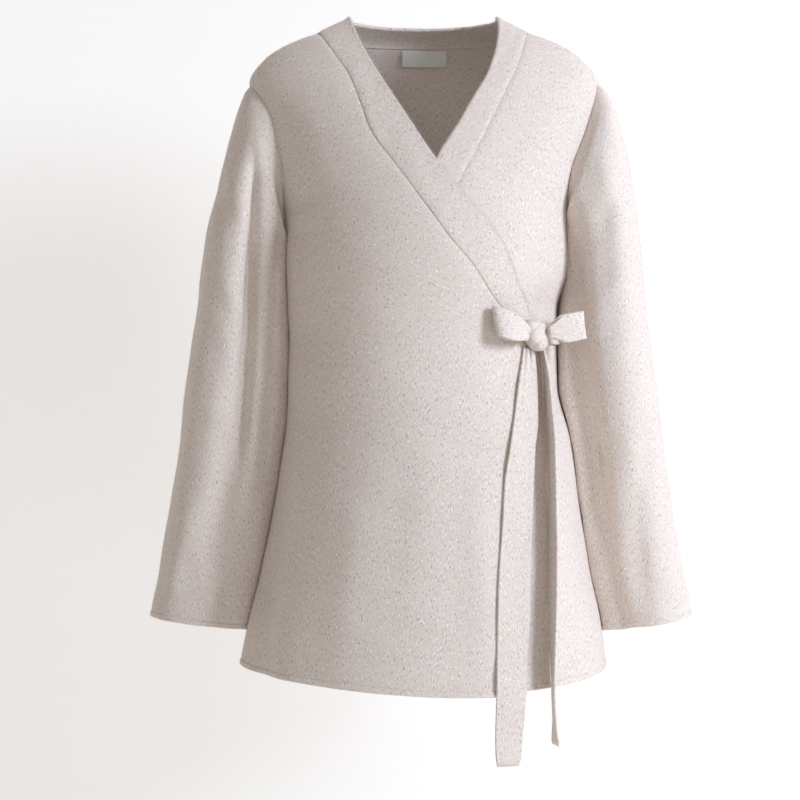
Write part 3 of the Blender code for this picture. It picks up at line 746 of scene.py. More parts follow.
def neckband(name):
    """One doubled strip, folded at its free edge."""
    (seam_angle, seam, edge_angle, edge), count = band_lines()
    share = spaced(38, 3.4)
    angle = seam_angle[:, None] * (1 - share) + edge_angle[:, None] * share
    height = seam[:, None] * (1 - share) + edge[:, None] * share
    out = np.zeros(angle.shape)
    out[:count] = layer(-1, angle[:count], height[:count])
    middle = body_point(angle, height, out)
    away = body_normal(angle, height)
    across = run(middle, 1)
    wave = uneven(run(middle, 0), across, 5, 34) * 0.25
    middle = middle + away * (sunk(across) * 0.8 + wave)[..., None]
    normal = grid_normal(middle)
    normal = normal * np.sign((normal * away).sum(-1, keepdims=True))
    up = run(middle, 0)
    fold = across[:, -1:] - across
    edge_at = np.minimum(np.minimum(across * 1.4, fold), np.minimum(up, up[-1:] - up))
    half = rounded(edge_at, BAND_WALL / 2) * (1 + 0.1 * np.exp(-(((fold - 3.2) / 2.2) ** 2)))
    fuzz = np.where(fold < EDGE_NAP_WIDE, EDGE_NAP, 1.0)
    return cloth_shell(name, middle, normal, half, edge_nap=fuzz)


def sleeve_rows(table):
    """Places down a sleeve in rows of its table, close together at the armhole and the cuff."""
    last = len(table) - 1
    top = RIM / SLEEVE_ROW
    cuff = last - HEM_ROWS[::-1] / CUFF_ROW
    return np.concatenate([top, np.linspace(top[-1] + 0.08, cuff[0] - 0.08, 108), cuff])


def body_side(side, y, height):
    """How far the body's surface reaches out at a depth and a height."""
    samples = side * 90 + np.linspace(-65, 65, 81).reshape(-1, 1, 1)
    points = body_point(samples + 0 * height, height + 0 * samples, 0.0)
    nearest = np.abs(points[..., 1] - y).argmin(axis=0)
    return np.abs(np.take_along_axis(points[..., 0], nearest[None], axis=0)[0])


def sleeve(name, side):
    table = RIGHT_SLEEVE if side < 0 else LEFT_SLEEVE
    turns = np.linspace(0, 360, SLEEVE_TURNS, endpoint=False)
    turns = np.unique(np.concatenate([turns, 180 + np.array([-3.2, -2.0, -1.0, 1.0, 2.0, 3.2])]))
    turn, row = np.meshgrid(turns, sleeve_rows(table))
    middle = sleeve_point(side, turn, row)
    seat = (1 - ease(row, 0, 0.35)) * (WALL + SEAM - SLEEVE_SEAT)
    hole_angle, hole_height = armhole(side, turn)
    middle = middle - body_normal(hole_angle, hole_height) * seat[..., None]
    centre = middle.mean(axis=1, keepdims=True)
    normal = grid_normal(middle, closed=True)
    away = np.sign(((middle - centre) * normal).sum(-1).mean())
    normal = normal * away
    inward = ease(-side * normal[..., 0], 0.1, 0.8) * ease(row, 0.2, 1.3)
    limit = body_side(side, middle[..., 1], middle[..., 2]) + SLEEVE_TOUCHES
    reach = np.abs(middle[..., 0])
    pulled = np.where(reach > limit, np.maximum(reach - SLEEVE_PULL * inward, limit), reach)
    middle[..., 0] = side * pulled
    normal = grid_normal(middle, closed=True) * away
    x, z = middle[..., 0], middle[..., 2]
    span = x.max(axis=1, keepdims=True) - x.min(axis=1, keepdims=True)
    share = (x - x.min(axis=1, keepdims=True)) / span
    share = share if side > 0 else 1 - share
    front = ease(-normal[..., 1], 0.0, 0.5)
    behind = ease(normal[..., 1], 0.0, 0.5)
    behind_rows = [(a * 100, z0, b * 100, z1, w, h) for a, z0, b, z1, w, h in CREASES["sleeve_back"]]
    lift = front * crease(CREASES[name], x, z) + behind * crease(behind_rows, share * 100, z)
    down = run(middle, 0)
    lift = lift + UNEVEN * uneven(turn * 2.4, z, 11 + side)
    lift = lift * ease(down, 4, 30) * ease(down[-1:] - down, 2, 30)
    underarm = np.abs(turned(turn, 180.0)) * 2.4
    lift = lift + sunk(underarm) * 0.8 + sunk(down)
    middle = middle + normal * lift[..., None]
    normal = grid_normal(middle, closed=True) * away
    down = run(middle, 0)
    cuff = down[-1:] - down
    half = rounded(np.minimum(down, cuff), WALL / 2) * (1 + turning(cuff))
    return cloth_shell(name, middle, normal, half, closed=True)


def ribbon(name, middle, out, thickness=TIE_WALL, nap=1.0):
    """A sewn tie: a flat tube with rounded edges and a fine groove where they are pressed."""
    normal = grid_normal(middle)
    normal = normal * np.sign((normal * out).sum(-1, keepdims=True))
    across, up = run(middle, 1), run(middle, 0)
    side = np.minimum(across, across[:, -1:] - across)
    edge = np.minimum(side, np.minimum(up, up[-1:] - up))
    half = rounded(edge, thickness / 2) * (1 - 0.22 * np.exp(-(((side - 3.4) / 1.1) ** 2)))
    return cloth_shell(name, middle, normal, half, nap=nap)


def gathers(share, folds, depth):
    """Pleats across a tie where it is squeezed: how far out each place lies."""
    return depth * np.cos(2 * math.pi * folds * share + 0.6)


def under_tie(name):
    rows = np.column_stack([-UNDER_TIE[:, 0], UNDER_TIE[:, 1:]])
    places = np.linspace(rows[0, 0], rows[-1, 0], 150)
    angle, height = -places, smooth(rows, 1, places)
    centre = body_point(angle, height, smooth(rows, 2, places))
    width = smooth(rows, 3, places)
    along = unit(np.gradient(centre, axis=0))
    out = body_normal(angle, height)
    across = unit(np.cross(out, along))
    share = spaced(28, 3.4) - 0.5
    middle = centre[:, None] + across[:, None] * (share * width[:, None])[..., None]
    squeezed = 1 - ease(width, 16, 27)
    pleat = gathers(share, 1.5, 0.5) * squeezed[:, None]
    middle = middle + out[:, None] * pleat[..., None]
    return ribbon(name, middle, np.repeat(out[:, None], len(share), axis=1))


def long_tail(name):
    height = np.concatenate([np.linspace(TAIL_EDGES[0, 0], -420, 78),
                             np.linspace(-417, TAIL_EDGES[-1, 0], 34)])
    left, right = smooth(TAIL_EDGES, 1, height), smooth(TAIL_EDGES, 2, height)
    lying = np.maximum(height, TAIL_LEAVES)
    share = spaced(30, 2.6)
    wanted = left[:, None] + (right - left)[:, None] * share
    lying = np.repeat(lying[:, None], len(share), axis=1)
    squeezed = ease(height, -420, -336)[:, None]
    pleat = gathers(share, 2.5, 1.1) * squeezed
    twist = 2.2 * (share - 0.5) * np.sin((height[:, None] + 700) / 62) * (1 - squeezed)
    curl = 0.9 * uneven(wanted * 2, height[:, None] + 0 * wanted, 21, 90)
    hang = 3.2 * (1 - ease(height, HEM - 60, HEM))[:, None] * (share - 0.5)
    out = LAYER + (WALL + TIE_WALL) / 2 + TAIL_GAP + pleat + twist + curl + hang
    x = wanted.copy()
    for _ in range(5):
        middle = body_point(front_angle(x, lying), lying, out)
        x = x + 0.8 * (wanted - middle[..., 0])
    middle[..., 2] = height[:, None] - 0.5 * np.abs(pleat)
    return ribbon(name, middle, body_normal(front_angle(x, lying), lying))


def short_tail(name):
    rows = SHORT_TAIL[::-1]
    height = np.linspace(rows[0, 1], rows[-1, 1], 112)
    near_x, width, lean = (smooth(rows, column, height, by=1) for column in (0, 2, 3))
    lying = np.maximum(height, TAIL_LEAVES)
    radians = np.radians(lean)
    forward = np.stack([np.sin(radians), -np.cos(radians), np.zeros(len(lean))], -1)
    far_x = near_x + SHORT_TAIL_SHIFT - width * np.sin(radians)
    far = body_point(front_angle(far_x, lying), lying, (WALL + TIE_WALL) / 2 + REST_GAP)
    far[:, 2] = height
    out = np.stack([-forward[:, 1], forward[:, 0], np.zeros(len(lean))], -1)
    share = spaced(28, 3.4)
    middle = far[:, None] + forward[:, None] * (share * width[:, None])[..., None]
    pleat = gathers(share, 1.5, 0.7) * ease(height, -400, -335)[:, None]
    wave = 1.1 * np.sin((height[:, None] + 640) / 48) * share
    middle = middle + out[:, None] * (pleat + wave)[..., None]
    return ribbon(name, middle, np.repeat(out[:, None], len(share), axis=1))


def loop_cloth(name, centre, up, widths, skew):
    """A loop of the bow: a tie bent back on itself, gathered where the knot holds it."""
    along = unit(np.gradient(centre, axis=0))
    out = unit(np.cross(along, up))
    across = unit(np.cross(out, along))
    share = spaced(30, 2.6) - 0.5
    middle = centre[:, None] + across[:, None] * (share * widths[:, None])[..., None]
    squeezed = 1 - ease(widths, widths.min() + 2, widths.max() - 3)
    pleat = gathers(share, 2.0, 0.8) * squeezed[:, None]
    cupped = 1.0 * (share * 2) ** 2 * (1 - squeezed[:, None])
    middle = middle + out[:, None] * (pleat + cupped)[..., None]
    far = np.sin(np.linspace(0, math.pi, len(centre)))[:, None]
    upper, lower = skew
    slide = far * (upper * np.clip(0.5 + share, 0, 1) + lower * np.clip(0.5 - share, 0, 1))
    middle[..., 0] += slide
    return ribbon(name, middle, np.repeat(out[:, None], len(share), axis=1))


def loop_shape():
    """A loop seen from above: how far along it is, and how far out of its middle."""
    turn = np.linspace(0, math.pi, 60)
    return np.sin(turn), np.cos(turn) * (LOOP_ENDS + LOOP_BELLY * np.sin(turn))


def left_loop(name):
    along, lift = loop_shape()
    root, tip = np.array(LEFT_LOOP["root"]), np.array(LEFT_LOOP["tip"])
    x, height = (root[:, None] + (tip - root)[:, None] * along)
    angle = front_angle(x, height)
    centre = body_point(angle, height, LEFT_LOOP["out"] + LEFT_LOOP["gap"] * lift)
    lean = math.atan2(tip[1] - root[1], root[0] - tip[0])
    level, up, _ = surface_frame(angle, height)
    up = up * math.cos(lean) + level * math.sin(lean)
    return loop_cloth(name, centre, up, smooth(LEFT_LOOP_WIDTHS, 1, along), LEFT_LOOP_SKEW)


def right_loop(name):
    along, lift = loop_shape()
    root, tip = np.array(RIGHT_LOOP["root"]), np.array(RIGHT_LOOP["tip"])
    axis = unit(tip - root)
    out = unit(np.cross(axis, [0.0, 0.0, 1.0]))
    up = unit(np.cross(out, axis))
    centre = root + np.outer(along, tip - root) + np.outer(lift * RIGHT_LOOP["gap"], out)
    return loop_cloth(name, centre, np.repeat(up[None], len(along), axis=0),
                      smooth(RIGHT_LOOP_WIDTHS, 1, along), RIGHT_LOOP_SKEW)


def bow_knot(name):
    """The tie wrapped round itself: a rounded lump whose wraps leave slanting grooves."""
    angle = front_angle(KNOT["x"], KNOT["height"])
    centre = body_point(angle, KNOT["height"], KNOT["out"])
    level, up, out = surface_frame(angle, KNOT["height"])
    polar, around = np.meshgrid(np.linspace(0.02, math.pi - 0.02, 46),
                                np.linspace(0, 2 * math.pi, 72, endpoint=False), indexing="ij")
    a = np.sin(polar) * np.cos(around)
    c = np.sin(polar) * np.sin(around)
    b = np.cos(polar)
    boxy = (np.abs(a) ** 2.6 + np.abs(b) ** 2.6 + np.abs(c) ** 2.6) ** (-1 / 2.6)
    grooves = np.zeros(a.shape)
    for place, slant, wide, deep in KNOT_GROOVES:
        grooves += deep * np.exp(-(((a * slant + b - place) / wide) ** 2)) * ease(c, -0.2, 0.5)
    size = boxy * (1 - grooves) * KNOT_SWELLS
    below = ease(-b, 0.0, 1.0)
    across = a * size * KNOT["half_width"] * (1 - KNOT_NARROWS * below)
    across = across + KNOT_LEANS * below - KNOT_SKEW * ease(b, -0.2, 0.9)
    middle = (centre + across[..., None] * level + (b * size * KNOT["half_height"])[..., None] * up
              + (c * size * KNOT["half_depth"])[..., None] * out)
    return closed_lump(name, middle)


def closed_lump(name, skin):
    """A closed skin over a grid of rings, with a cap on its first and last ring."""
    rows, columns = skin.shape[:2]
    down, right = np.meshgrid(np.arange(rows - 1), np.arange(columns), indexing="ij")
    at = down * columns + right
    beside = down * columns + (right + 1) % columns
    faces = np.stack([at, beside, beside + columns, at + columns], -1).reshape(-1, 4).tolist()
    faces += [list(range(columns))[::-1], list(range((rows - 1) * columns, rows * columns))]
    points = skin.reshape(-1, 3)
    quads = np.array(faces[:-2])
    triangles = np.concatenate([quads[:, :3], quads[:, [0, 2, 3]]]) 
    if np.linalg.det((points - points.mean(axis=0))[triangles]).sum() < 0:
        faces = [face[::-1] for face in faces]
    mesh = bpy.data.meshes.new(name)
    mesh.from_pydata((points * MM).tolist(), [], faces)
    u = run(np.concatenate([skin, skin[:, :1]], axis=1), 1)[:, :-1]
    v = run(skin, 0)
    flat = np.stack([u, v], axis=-1).reshape(-1, 2)
    corners = np.concatenate([np.array(face) for face in faces])
    mesh.uv_layers.new(name="laid_flat").data.foreach_set("uv", flat[corners].astype(np.float32).ravel())
    weight = np.ones(len(faces), np.float32)
    mesh.attributes.new("nap", "FLOAT", "FACE").data.foreach_set("value", weight)
    return placed(name, mesh)


KNOT_SWELLS = 1.14
KNOT_SKEW = 4.0  # its upper part lies this far to the left of its middle
LEFT_LOOP_SKEW = (-4.0, 13.0)  # how far the tip's upper and lower edge are moved to the right
RIGHT_LOOP_SKEW = (-6.0, -7.0)
# Grooves of the knot: where each crosses its middle, its slant, half width and depth
KNOT_GROOVES = [(0.62, -0.45, 0.10, 0.10), (-0.12, -0.7, 0.12, 0.13), (-0.72, -0.5, 0.10, 0.08)]


def label(name):
    """A bare woven label, sewn at its two short sides to the inside of the back."""
    height = np.linspace(LABEL_BOTTOM, LABEL_TOP, 18)[:, None]
    share = spaced(LABEL_WIDTH, 2.4) - 0.5
    x = LABEL_CENTRE + share[None, :] * LABEL_WIDTH
    angle = 180 - front_angle(x, height)
    droop = 0.35 * np.cos(share * math.pi) * ease(-height, 4, 20)
    middle = body_point(angle, height + 0 * x, LABEL_IN - droop)
    normal = body_normal(angle, height + 0 * x)
    across, up = run(middle, 1), run(middle, 0)
    edge = np.minimum(np.minimum(across, across[:, -1:] - across), np.minimum(up, up[-1:] - up))
    return cloth_shell(name, middle, normal, rounded(edge, 0.3), nap=0.0)


def add(tree, kind, settings=(), inputs=()):
    """Adds a node: settings are its own values, inputs its sockets' values or what feeds them."""
    made = tree.nodes.new(kind)
    for key, value in dict(settings).items():
        setattr(made, key, value)
    for key, value in dict(inputs).items():
        if isinstance(value, bpy.types.NodeSocket):
            tree.links.new(value, made.inputs[key])
        else:
            made.inputs[key].default_value = value
    return made


def surface(name, **sockets):
    """A material with a Principled shader, and that shader."""
    made = bpy.data.materials.new(name)
    made.use_nodes = True
    shader = made.node_tree.nodes["Principled BSDF"]
    for key, value in sockets.items():
        shader.inputs[key.replace("_", " ")].default_value = value
    return made, made.node_tree, shader


def felted_wool():
    """Melange wool, knitted fine and lightly felted: pale and dark fibres lie mixed in short
    strokes that lean both ways, as knit loops do, under a soft dull nap that catches light."""
    made, tree, shader = surface("felted_wool_knit", Roughness=0.92, Sheen_Weight=0.28,
                                 Sheen_Roughness=0.45, Sheen_Tint=(*colour("#FFF8F0"), 1),
                                 Specular_IOR_Level=0.25)
    flat = add(tree, "ShaderNodeUVMap", dict(uv_map="laid_flat")).outputs["UV"]
    strokes = []
    for lean, wide, long in ((16, 1.15, 3.9), (-19, 1.25, 4.3)):
        turned_flat = add(tree, "ShaderNodeMapping", inputs=dict(
            Vector=flat, Rotation=(0, 0, math.radians(lean)), Scale=(1 / wide, 1 / long, 1)))
        strokes.append(add(tree, "ShaderNodeTexNoise", inputs=dict(
            Vector=turned_flat.outputs[0], Scale=1.0, Detail=2.0, Roughness=0.62)).outputs["Fac"])
    mixed = add(tree, "ShaderNodeMath", dict(operation="ADD"), {0: strokes[0], 1: strokes[1]})
    spread = add(tree, "ShaderNodeMapRange", inputs={
        "Value": mixed.outputs[0], "From Min": 0.74, "From Max": 1.26}).outputs["Result"]
    ramp = add(tree, "ShaderNodeValToRGB", inputs={"Fac": spread})
    stops = ramp.color_ramp.elements
    for place, code in ((0.0, "#A79A8D"), (0.34, "#C9BCAF"), (0.62, "#DACFC4"), (1.0, "#EEE6DD")):
        stop = stops[0] if place == 0 else stops[1] if place == 1 else stops.new(place)
        stop.color = (*colour(code), 1)
    cloud = add(tree, "ShaderNodeTexNoise", inputs=dict(
        Vector=flat, Scale=1 / 16, Detail=2.0, Roughness=0.5)).outputs["Fac"]
    tint = add(tree, "ShaderNodeMix", dict(data_type="RGBA", blend_type="MIX"), {
        "Factor": cloud, 6: (*colour("#FAF3EA"), 1), 7: (*colour("#F7F3F7"), 1)}).outputs[2]
    both = add(tree, "ShaderNodeMix", dict(data_type="RGBA", blend_type="MULTIPLY"), {
        "Factor": 1.0, 6: ramp.outputs["Color"], 7: tint}).outputs[2]
    tree.links.new(both, shader.inputs["Base Color"])
    fine = add(tree, "ShaderNodeTexNoise", inputs=dict(
        Vector=flat, Scale=1 / 0.7, Detail=1.0)).outputs["Fac"]
    height = add(tree, "ShaderNodeMath", dict(operation="MULTIPLY_ADD"),
                 {0: fine, 1: 0.5, 2: mixed.outputs[0]}).outputs[0]
    bump = add(tree, "ShaderNodeBump", inputs=dict(Strength=0.5, Distance=0.3 * MM, Height=height))
    tree.links.new(bump.outputs["Normal"], shader.inputs["Normal"])
    return made


def wool_fibre():
    """Single loose wool fibres, pale and matt, with the soft glow of a backlit hair."""
    made, tree, shader = surface("loose_wool_fibre", Roughness=0.85, Sheen_Weight=0.3,
                                 Base_Color=(*colour("#EDE3D8"), 1), Specular_IOR_Level=0.3)
    where = add(tree, "ShaderNodeTexCoord").outputs["Object"]
    patch = add(tree, "ShaderNodeTexNoise", inputs=dict(Vector=where, Scale=1 / (3 * MM))).outputs["Fac"]
    mix = add(tree, "ShaderNodeMix", dict(data_type="RGBA"), {
        "Factor": patch, 6: (*colour("#C6B7A8"), 1), 7: (*colour("#FAF4EC"), 1)}).outputs[2]
    tree.links.new(mix, shader.inputs["Base Color"])
    return made


def linking_yarn():
    """The same wool as one thin ply, pulled tight in a seam and smoother; its colours are a little darker than
    the cloth's, as painted shade of the sunk stitches.
    """
    made, tree, shader = surface("linking_yarn", Roughness=0.8, Specular_IOR_Level=0.3)
    where = add(tree, "ShaderNodeTexCoord").outputs["Object"]
    ply = add(tree, "ShaderNodeTexNoise", inputs=dict(Vector=where, Scale=1 / (1.2 * MM))).outputs["Fac"]
    # both colours lie a little darker than the cloth's: painted shade of stitches sunk in the seam
    mix = add(tree, "ShaderNodeMix", dict(data_type="RGBA"), {
        "Factor": ply, 6: (*colour("#B5A696"), 1), 7: (*colour("#DACDBF"), 1)}).outputs[2]
    tree.links.new(mix, shader.inputs["Base Color"])
    return made


def label_satin():
    """Polyester label tape in a satin weave: smooth off-white, with fine threads across it."""
    made, tree, shader = surface("label_satin", Roughness=0.42, Sheen_Weight=0.15)
    flat = add(tree, "ShaderNodeUVMap", dict(uv_map="laid_flat")).outputs["UV"]
    # threads of 0.25 mm would be too fine to show, so they are drawn 0.5 mm apart
    threads = add(tree, "ShaderNodeTexWave", dict(bands_direction="Y"), dict(
        Vector=flat, Scale=1 / (0.5 * 2 * math.pi) * 3.14, Distortion=0.6)).outputs["Fac"]
    mix = add(tree, "ShaderNodeMix", dict(data_type="RGBA"), {
        "Factor": threads, 6: (*colour("#E2E5DF"), 1), 7: (*colour("#F1F3EE"), 1)}).outputs[2]
    tree.links.new(mix, shader.inputs["Base Color"])
    bump = add(tree, "ShaderNodeBump", inputs=dict(Strength=0.25, Distance=0.1 * MM, Height=threads))
    tree.links.new(bump.outputs["Normal"], shader.inputs["Normal"])
    return made


def shape_tree(name, sizes):
    """An empty Geometry Nodes tree with named inputs, and its input and output nodes."""
    tree = bpy.data.node_groups.new(name, "GeometryNodeTree")
    tree.interface.new_socket("Geometry", in_out="INPUT", socket_type="NodeSocketGeometry")
    for key, kind in sizes:
        tree.interface.new_socket(key, in_out="INPUT", socket_type=kind)
    tree.interface.new_socket("Geometry", in_out="OUTPUT", socket_type="NodeSocketGeometry")
    return tree, tree.nodes.new("NodeGroupInput"), tree.nodes.new("NodeGroupOutput")


def nap_tree():
    """Loose fibres scattered over a cloth, each leaning at random, as thick as its nap says."""
    tree, given, result = shape_tree("nap", [
        ("Density", "NodeSocketFloat"), ("Length", "NodeSocketFloat"),
        ("Thickness", "NodeSocketFloat"), ("Seed", "NodeSocketInt"),
        ("Material", "NodeSocketMaterial")])
    size = given.outputs
    weight = add(tree, "GeometryNodeInputNamedAttribute", dict(data_type="FLOAT"), dict(Name="nap"))
    density = add(tree, "ShaderNodeMath", dict(operation="MULTIPLY"),
                  {0: size["Density"], 1: weight.outputs["Attribute"]})
    spots = add(tree, "GeometryNodeDistributePointsOnFaces", inputs=dict(
        Mesh=size["Geometry"], Density=density.outputs[0], Seed=size["Seed"]))
    lean = add(tree, "FunctionNodeRandomValue", dict(data_type="FLOAT_VECTOR"), {
        "Min": (math.radians(38), 0.0, 0.0), "Max": (math.radians(84), 0.0, 2 * math.pi),
        "Seed": size["Seed"]})
    turned_by = add(tree, "FunctionNodeEulerToRotation", inputs={"Euler": lean.outputs["Value"]})
    facing = add(tree, "FunctionNodeRotateRotation", dict(rotation_space="LOCAL"), {
        "Rotation": spots.outputs["Rotation"], "Rotate By": turned_by.outputs["Rotation"]})
    radius = add(tree, "ShaderNodeMath", dict(operation="MULTIPLY"), {0: size["Thickness"], 1: 0.5})
    fibre = add(tree, "GeometryNodeMeshCone", inputs={
        "Vertices": 3, "Radius Top": 0.0, "Radius Bottom": radius.outputs[0], "Depth": size["Length"]})
    scale = add(tree, "FunctionNodeRandomValue", dict(data_type="FLOAT"), {
        2: 0.55, 3: 1.5, "Seed": size["Seed"]})
    placed = add(tree, "GeometryNodeInstanceOnPoints", inputs={
        "Points": spots.outputs["Points"], "Instance": fibre.outputs["Mesh"],
        "Rotation": facing.outputs["Rotation"], "Scale": scale.outputs[1]})
    real = add(tree, "GeometryNodeRealizeInstances", inputs=dict(Geometry=placed.outputs[0]))
    done = add(tree, "GeometryNodeSetMaterial", inputs=dict(
        Geometry=real.outputs[0], Material=size["Material"]))
    tree.links.new(done.outputs[0], result.inputs[0])
    return tree


def stitch_tree():
    """Small rounded stitches, a pitch apart, along lines of edges."""
    tree, given, result = shape_tree("stitches", [
        ("Pitch", "NodeSocketFloat"), ("Length", "NodeSocketFloat"),
        ("Radius", "NodeSocketFloat"), ("Material", "NodeSocketMaterial")])
    size = given.outputs
    line = add(tree, "GeometryNodeMeshToCurve", inputs=dict(Mesh=size["Geometry"]))
    marks = add(tree, "GeometryNodeResampleCurve", dict(mode="LENGTH"), dict(
        Curve=line.outputs[0], Length=size["Pitch"]))
    ball = add(tree, "GeometryNodeMeshUVSphere", inputs=dict(Segments=6, Rings=5, Radius=1.0))
    half = add(tree, "ShaderNodeMath", dict(operation="MULTIPLY"), {0: size["Length"], 1: 0.5})
    scale = add(tree, "ShaderNodeCombineXYZ", inputs=dict(
        X=half.outputs[0], Y=size["Radius"], Z=size["Radius"]))
    tangent = add(tree, "GeometryNodeInputTangent")
    facing = add(tree, "FunctionNodeAlignRotationToVector", dict(axis="X"), dict(
        Vector=tangent.outputs[0]))
    placed = add(tree, "GeometryNodeInstanceOnPoints", inputs={
        "Points": marks.outputs[0], "Instance": ball.outputs["Mesh"],
        "Rotation": facing.outputs["Rotation"], "Scale": scale.outputs[0]})
    real = add(tree, "GeometryNodeRealizeInstances", inputs=dict(Geometry=placed.outputs[0]))
    done = add(tree, "GeometryNodeSetMaterial", inputs=dict(
        Geometry=real.outputs[0], Material=size["Material"]))
    tree.links.new(done.outputs[0], result.inputs[0])
    return tree


def grown(name, source, tree, values):
    """The plain mesh that a Geometry Nodes tree makes on a copy of an object."""
    carrier = bpy.data.objects.new(name + "_carrier", source)
    bpy.context.scene.collection.objects.link(carrier)
    modifier = carrier.modifiers.new("shape", "NODES")
    modifier.node_group = tree
    for item in tree.interface.items_tree:
        if item.in_out == "INPUT" and item.name in values:
            modifier[item.identifier] = values[item.name]
    graph = bpy.context.evaluated_depsgraph_get()
    mesh = bpy.data.meshes.new_from_object(carrier.evaluated_get(graph))
    mesh.name = name
    bpy.data.objects.remove(carrier)
    return placed(name, mesh)


def line_mesh(name, lines):
    """A mesh of edges only, from several lines of points."""
    points, edges = [], []
    for line in lines:
        first = len(points)
        points.extend((np.asarray(line) * MM).tolist())
        edges.extend([first + i, first + i + 1] for i in range(len(line) - 1))
    mesh = bpy.data.meshes.new(name)
    mesh.from_pydata(points, edges, [])
    return mesh


def seam_lines(side):
    """Lines of linking stitches on one half: band seam, armhole, side seam and shoulder."""
    band = RIGHT_BAND if side < 0 else LEFT_BAND
    height = np.linspace(band[0, 1] + 4, NECK_ROW, 90)
    angle = front_angle(smooth(band, 0, height, by=1) + side * 0.4, height)
    lines = [body_point(angle, height, layer(side, angle, height) + 0.25)]
    turn = np.linspace(-176, 176, 120)
    angle, height = armhole(side, turn)
    lines.append(body_point(angle, height, 0.35))
    height = np.linspace(HEM + 10, ARMHOLES[side]["bottom"] - 3, 120)
    if side < 0:
        height = height[np.abs(height - SLIT_HEIGHT) > SLIT_HALF_LENGTH + 1]
    drop = (hem_height(np.array(side * 90.0)) - HEM) * (1 - ease(height, HEM, -430))
    side_line = body_point(side * 90.0, height + drop, 0.1)
    if side < 0:
        lines += [side_line[height < SLIT_HEIGHT], side_line[height > SLIT_HEIGHT]]
    else:
        lines.append(side_line)
    height = np.linspace(ARMHOLES[side]["top"] + 4, NECK_ROW, 40)
    lines.append(body_point(side * 90.0, height, 0.1))
    return lines


def hem_lines():
    """Lines of the stitches that hold the hem's turning: outer front, back, under front."""
    lines = []
    for start, end, side in ((-89, 34, -1), (-91, -269, 0), (89, -30, 1)):
        angle = np.linspace(start, end, 110)
        height = hem_height(angle) + TURNING + 0.3
        if side < 0:
            height = height - OUTER_HEM_DROP * ease(angle, -60, 40)
        out = layer(side, angle, height) if side < 0 else 0.0
        lines.append(body_point(angle, height, out + WALL / 2 * 0.75))
    return lines


def cuff_line(side):
    table = RIGHT_SLEEVE if side < 0 else LEFT_SLEEVE
    turn = np.linspace(0, 358, 90)
    row = np.full(turn.shape, len(table) - 1 - (TURNING + 0.3) / CUFF_ROW)
    ring = sleeve_point(side, turn, row)
    return ring + unit(ring - ring.mean(axis=0)) * WALL / 2 * 0.75


def back_neck_line():
    angle = np.linspace(-91, -269, 90)
    height = SHOULDER_CORNER - back_dip(angle, BACK_SEAM_DROP)
    return [body_point(angle, height, 0.3), body_point(angle, height, -0.9)]


def label_lines():
    lines = []
    for share in (-0.47, 0.47):
        height = np.linspace(LABEL_BOTTOM + 1.2, LABEL_TOP - 1.2, 12)
        angle = 180 - front_angle(LABEL_CENTRE + share * LABEL_WIDTH, height)
        lines.append(body_point(angle, height, LABEL_IN - 0.32))
    return lines


def keep(piece, slot="felted_wool_knit", node=None):
    """Fixes a piece to the garment; node is the solid that it stands for."""
    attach(piece, "root")
    if node:
        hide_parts(node)


def dress():
    """Every piece of the cardigan."""
    wool, fibre, yarn, satin = felted_wool(), wool_fibre(), linking_yarn(), label_satin()
    pieces = {
        "back": back_panel("back"),
        "front_right": front_panel("front_right", -1),
        "front_left": front_panel("front_left", 1),
        "sleeve_right": sleeve("sleeve_right", -1),
        "sleeve_left": sleeve("sleeve_left", 1),
        "neckband": neckband("neckband"),
        "tie_round_back": under_tie("tie_round_back"),
        "bow_knot": bow_knot("bow_knot"),
        "bow_loop_left": left_loop("bow_loop_left"),
        "bow_loop_right": right_loop("bow_loop_right"),
        "tail_long": long_tail("tail_long"),
        "tail_short": short_tail("tail_short"),
    }
    nap, stitches = nap_tree(), stitch_tree()
    loose = {}
    for number, (name, piece) in enumerate(pieces.items()):
        piece.name = "cloth_" + name
        piece.data.materials.append(wool)
        keep(piece, node=name)
        loose[name] = grown("nap_" + name, piece.data, nap, {
            "Density": NAP_EACH_M2, "Length": NAP_LENGTH * MM, "Thickness": NAP_THICK * MM,
            "Seed": number + 3, "Material": fibre})
        keep(loose[name])

    def sewn(name, lines, stitch, slot="felted_wool_knit", thread=yarn):
        made = grown(name, line_mesh(name + "_line", lines), stitches, {
            "Pitch": stitch["pitch"] * MM, "Length": stitch["length"] * MM,
            "Radius": stitch["radius"] * MM, "Material": thread})
        keep(made, slot)
        return made

    tape = label("cloth_label")
    tape.data.materials.append(satin)
    keep(tape, "woven_label", "label")
    tape_stitches = sewn("label_stitches", label_lines(), LABEL_STITCH, "woven_label", satin)
    added = {name: [fuzz] for name, fuzz in loose.items()}
    added["tail_long"] += [pieces["bow_knot"], loose["bow_knot"]]
    added["back"].append(sewn("neck_links", back_neck_line(), LINK))
    added["back"].append(sewn("hem_stitches", hem_lines(), HEMMING))
    added["front_right"].append(sewn("links_right", seam_lines(-1), LINK))
    added["front_left"].append(sewn("links_left", seam_lines(1), LINK))
    added["sleeve_right"].append(sewn("cuff_stitches_right", [cuff_line(-1)], HEMMING))
    added["sleeve_left"].append(sewn("cuff_stitches_left", [cuff_line(1)], HEMMING))


# Studio, in metres: the garment hangs at shoulder height before a pale paper wall, over a floor
WALL_AWAY = 0.32
FLOOR = -1.40
CAMERA_AWAY = 2.6
CAMERA_HEIGHT = -0.385
VIEW_WIDTH = 0.848
SIDE_SHIFT = -23 / 800
SENSOR = 36.0


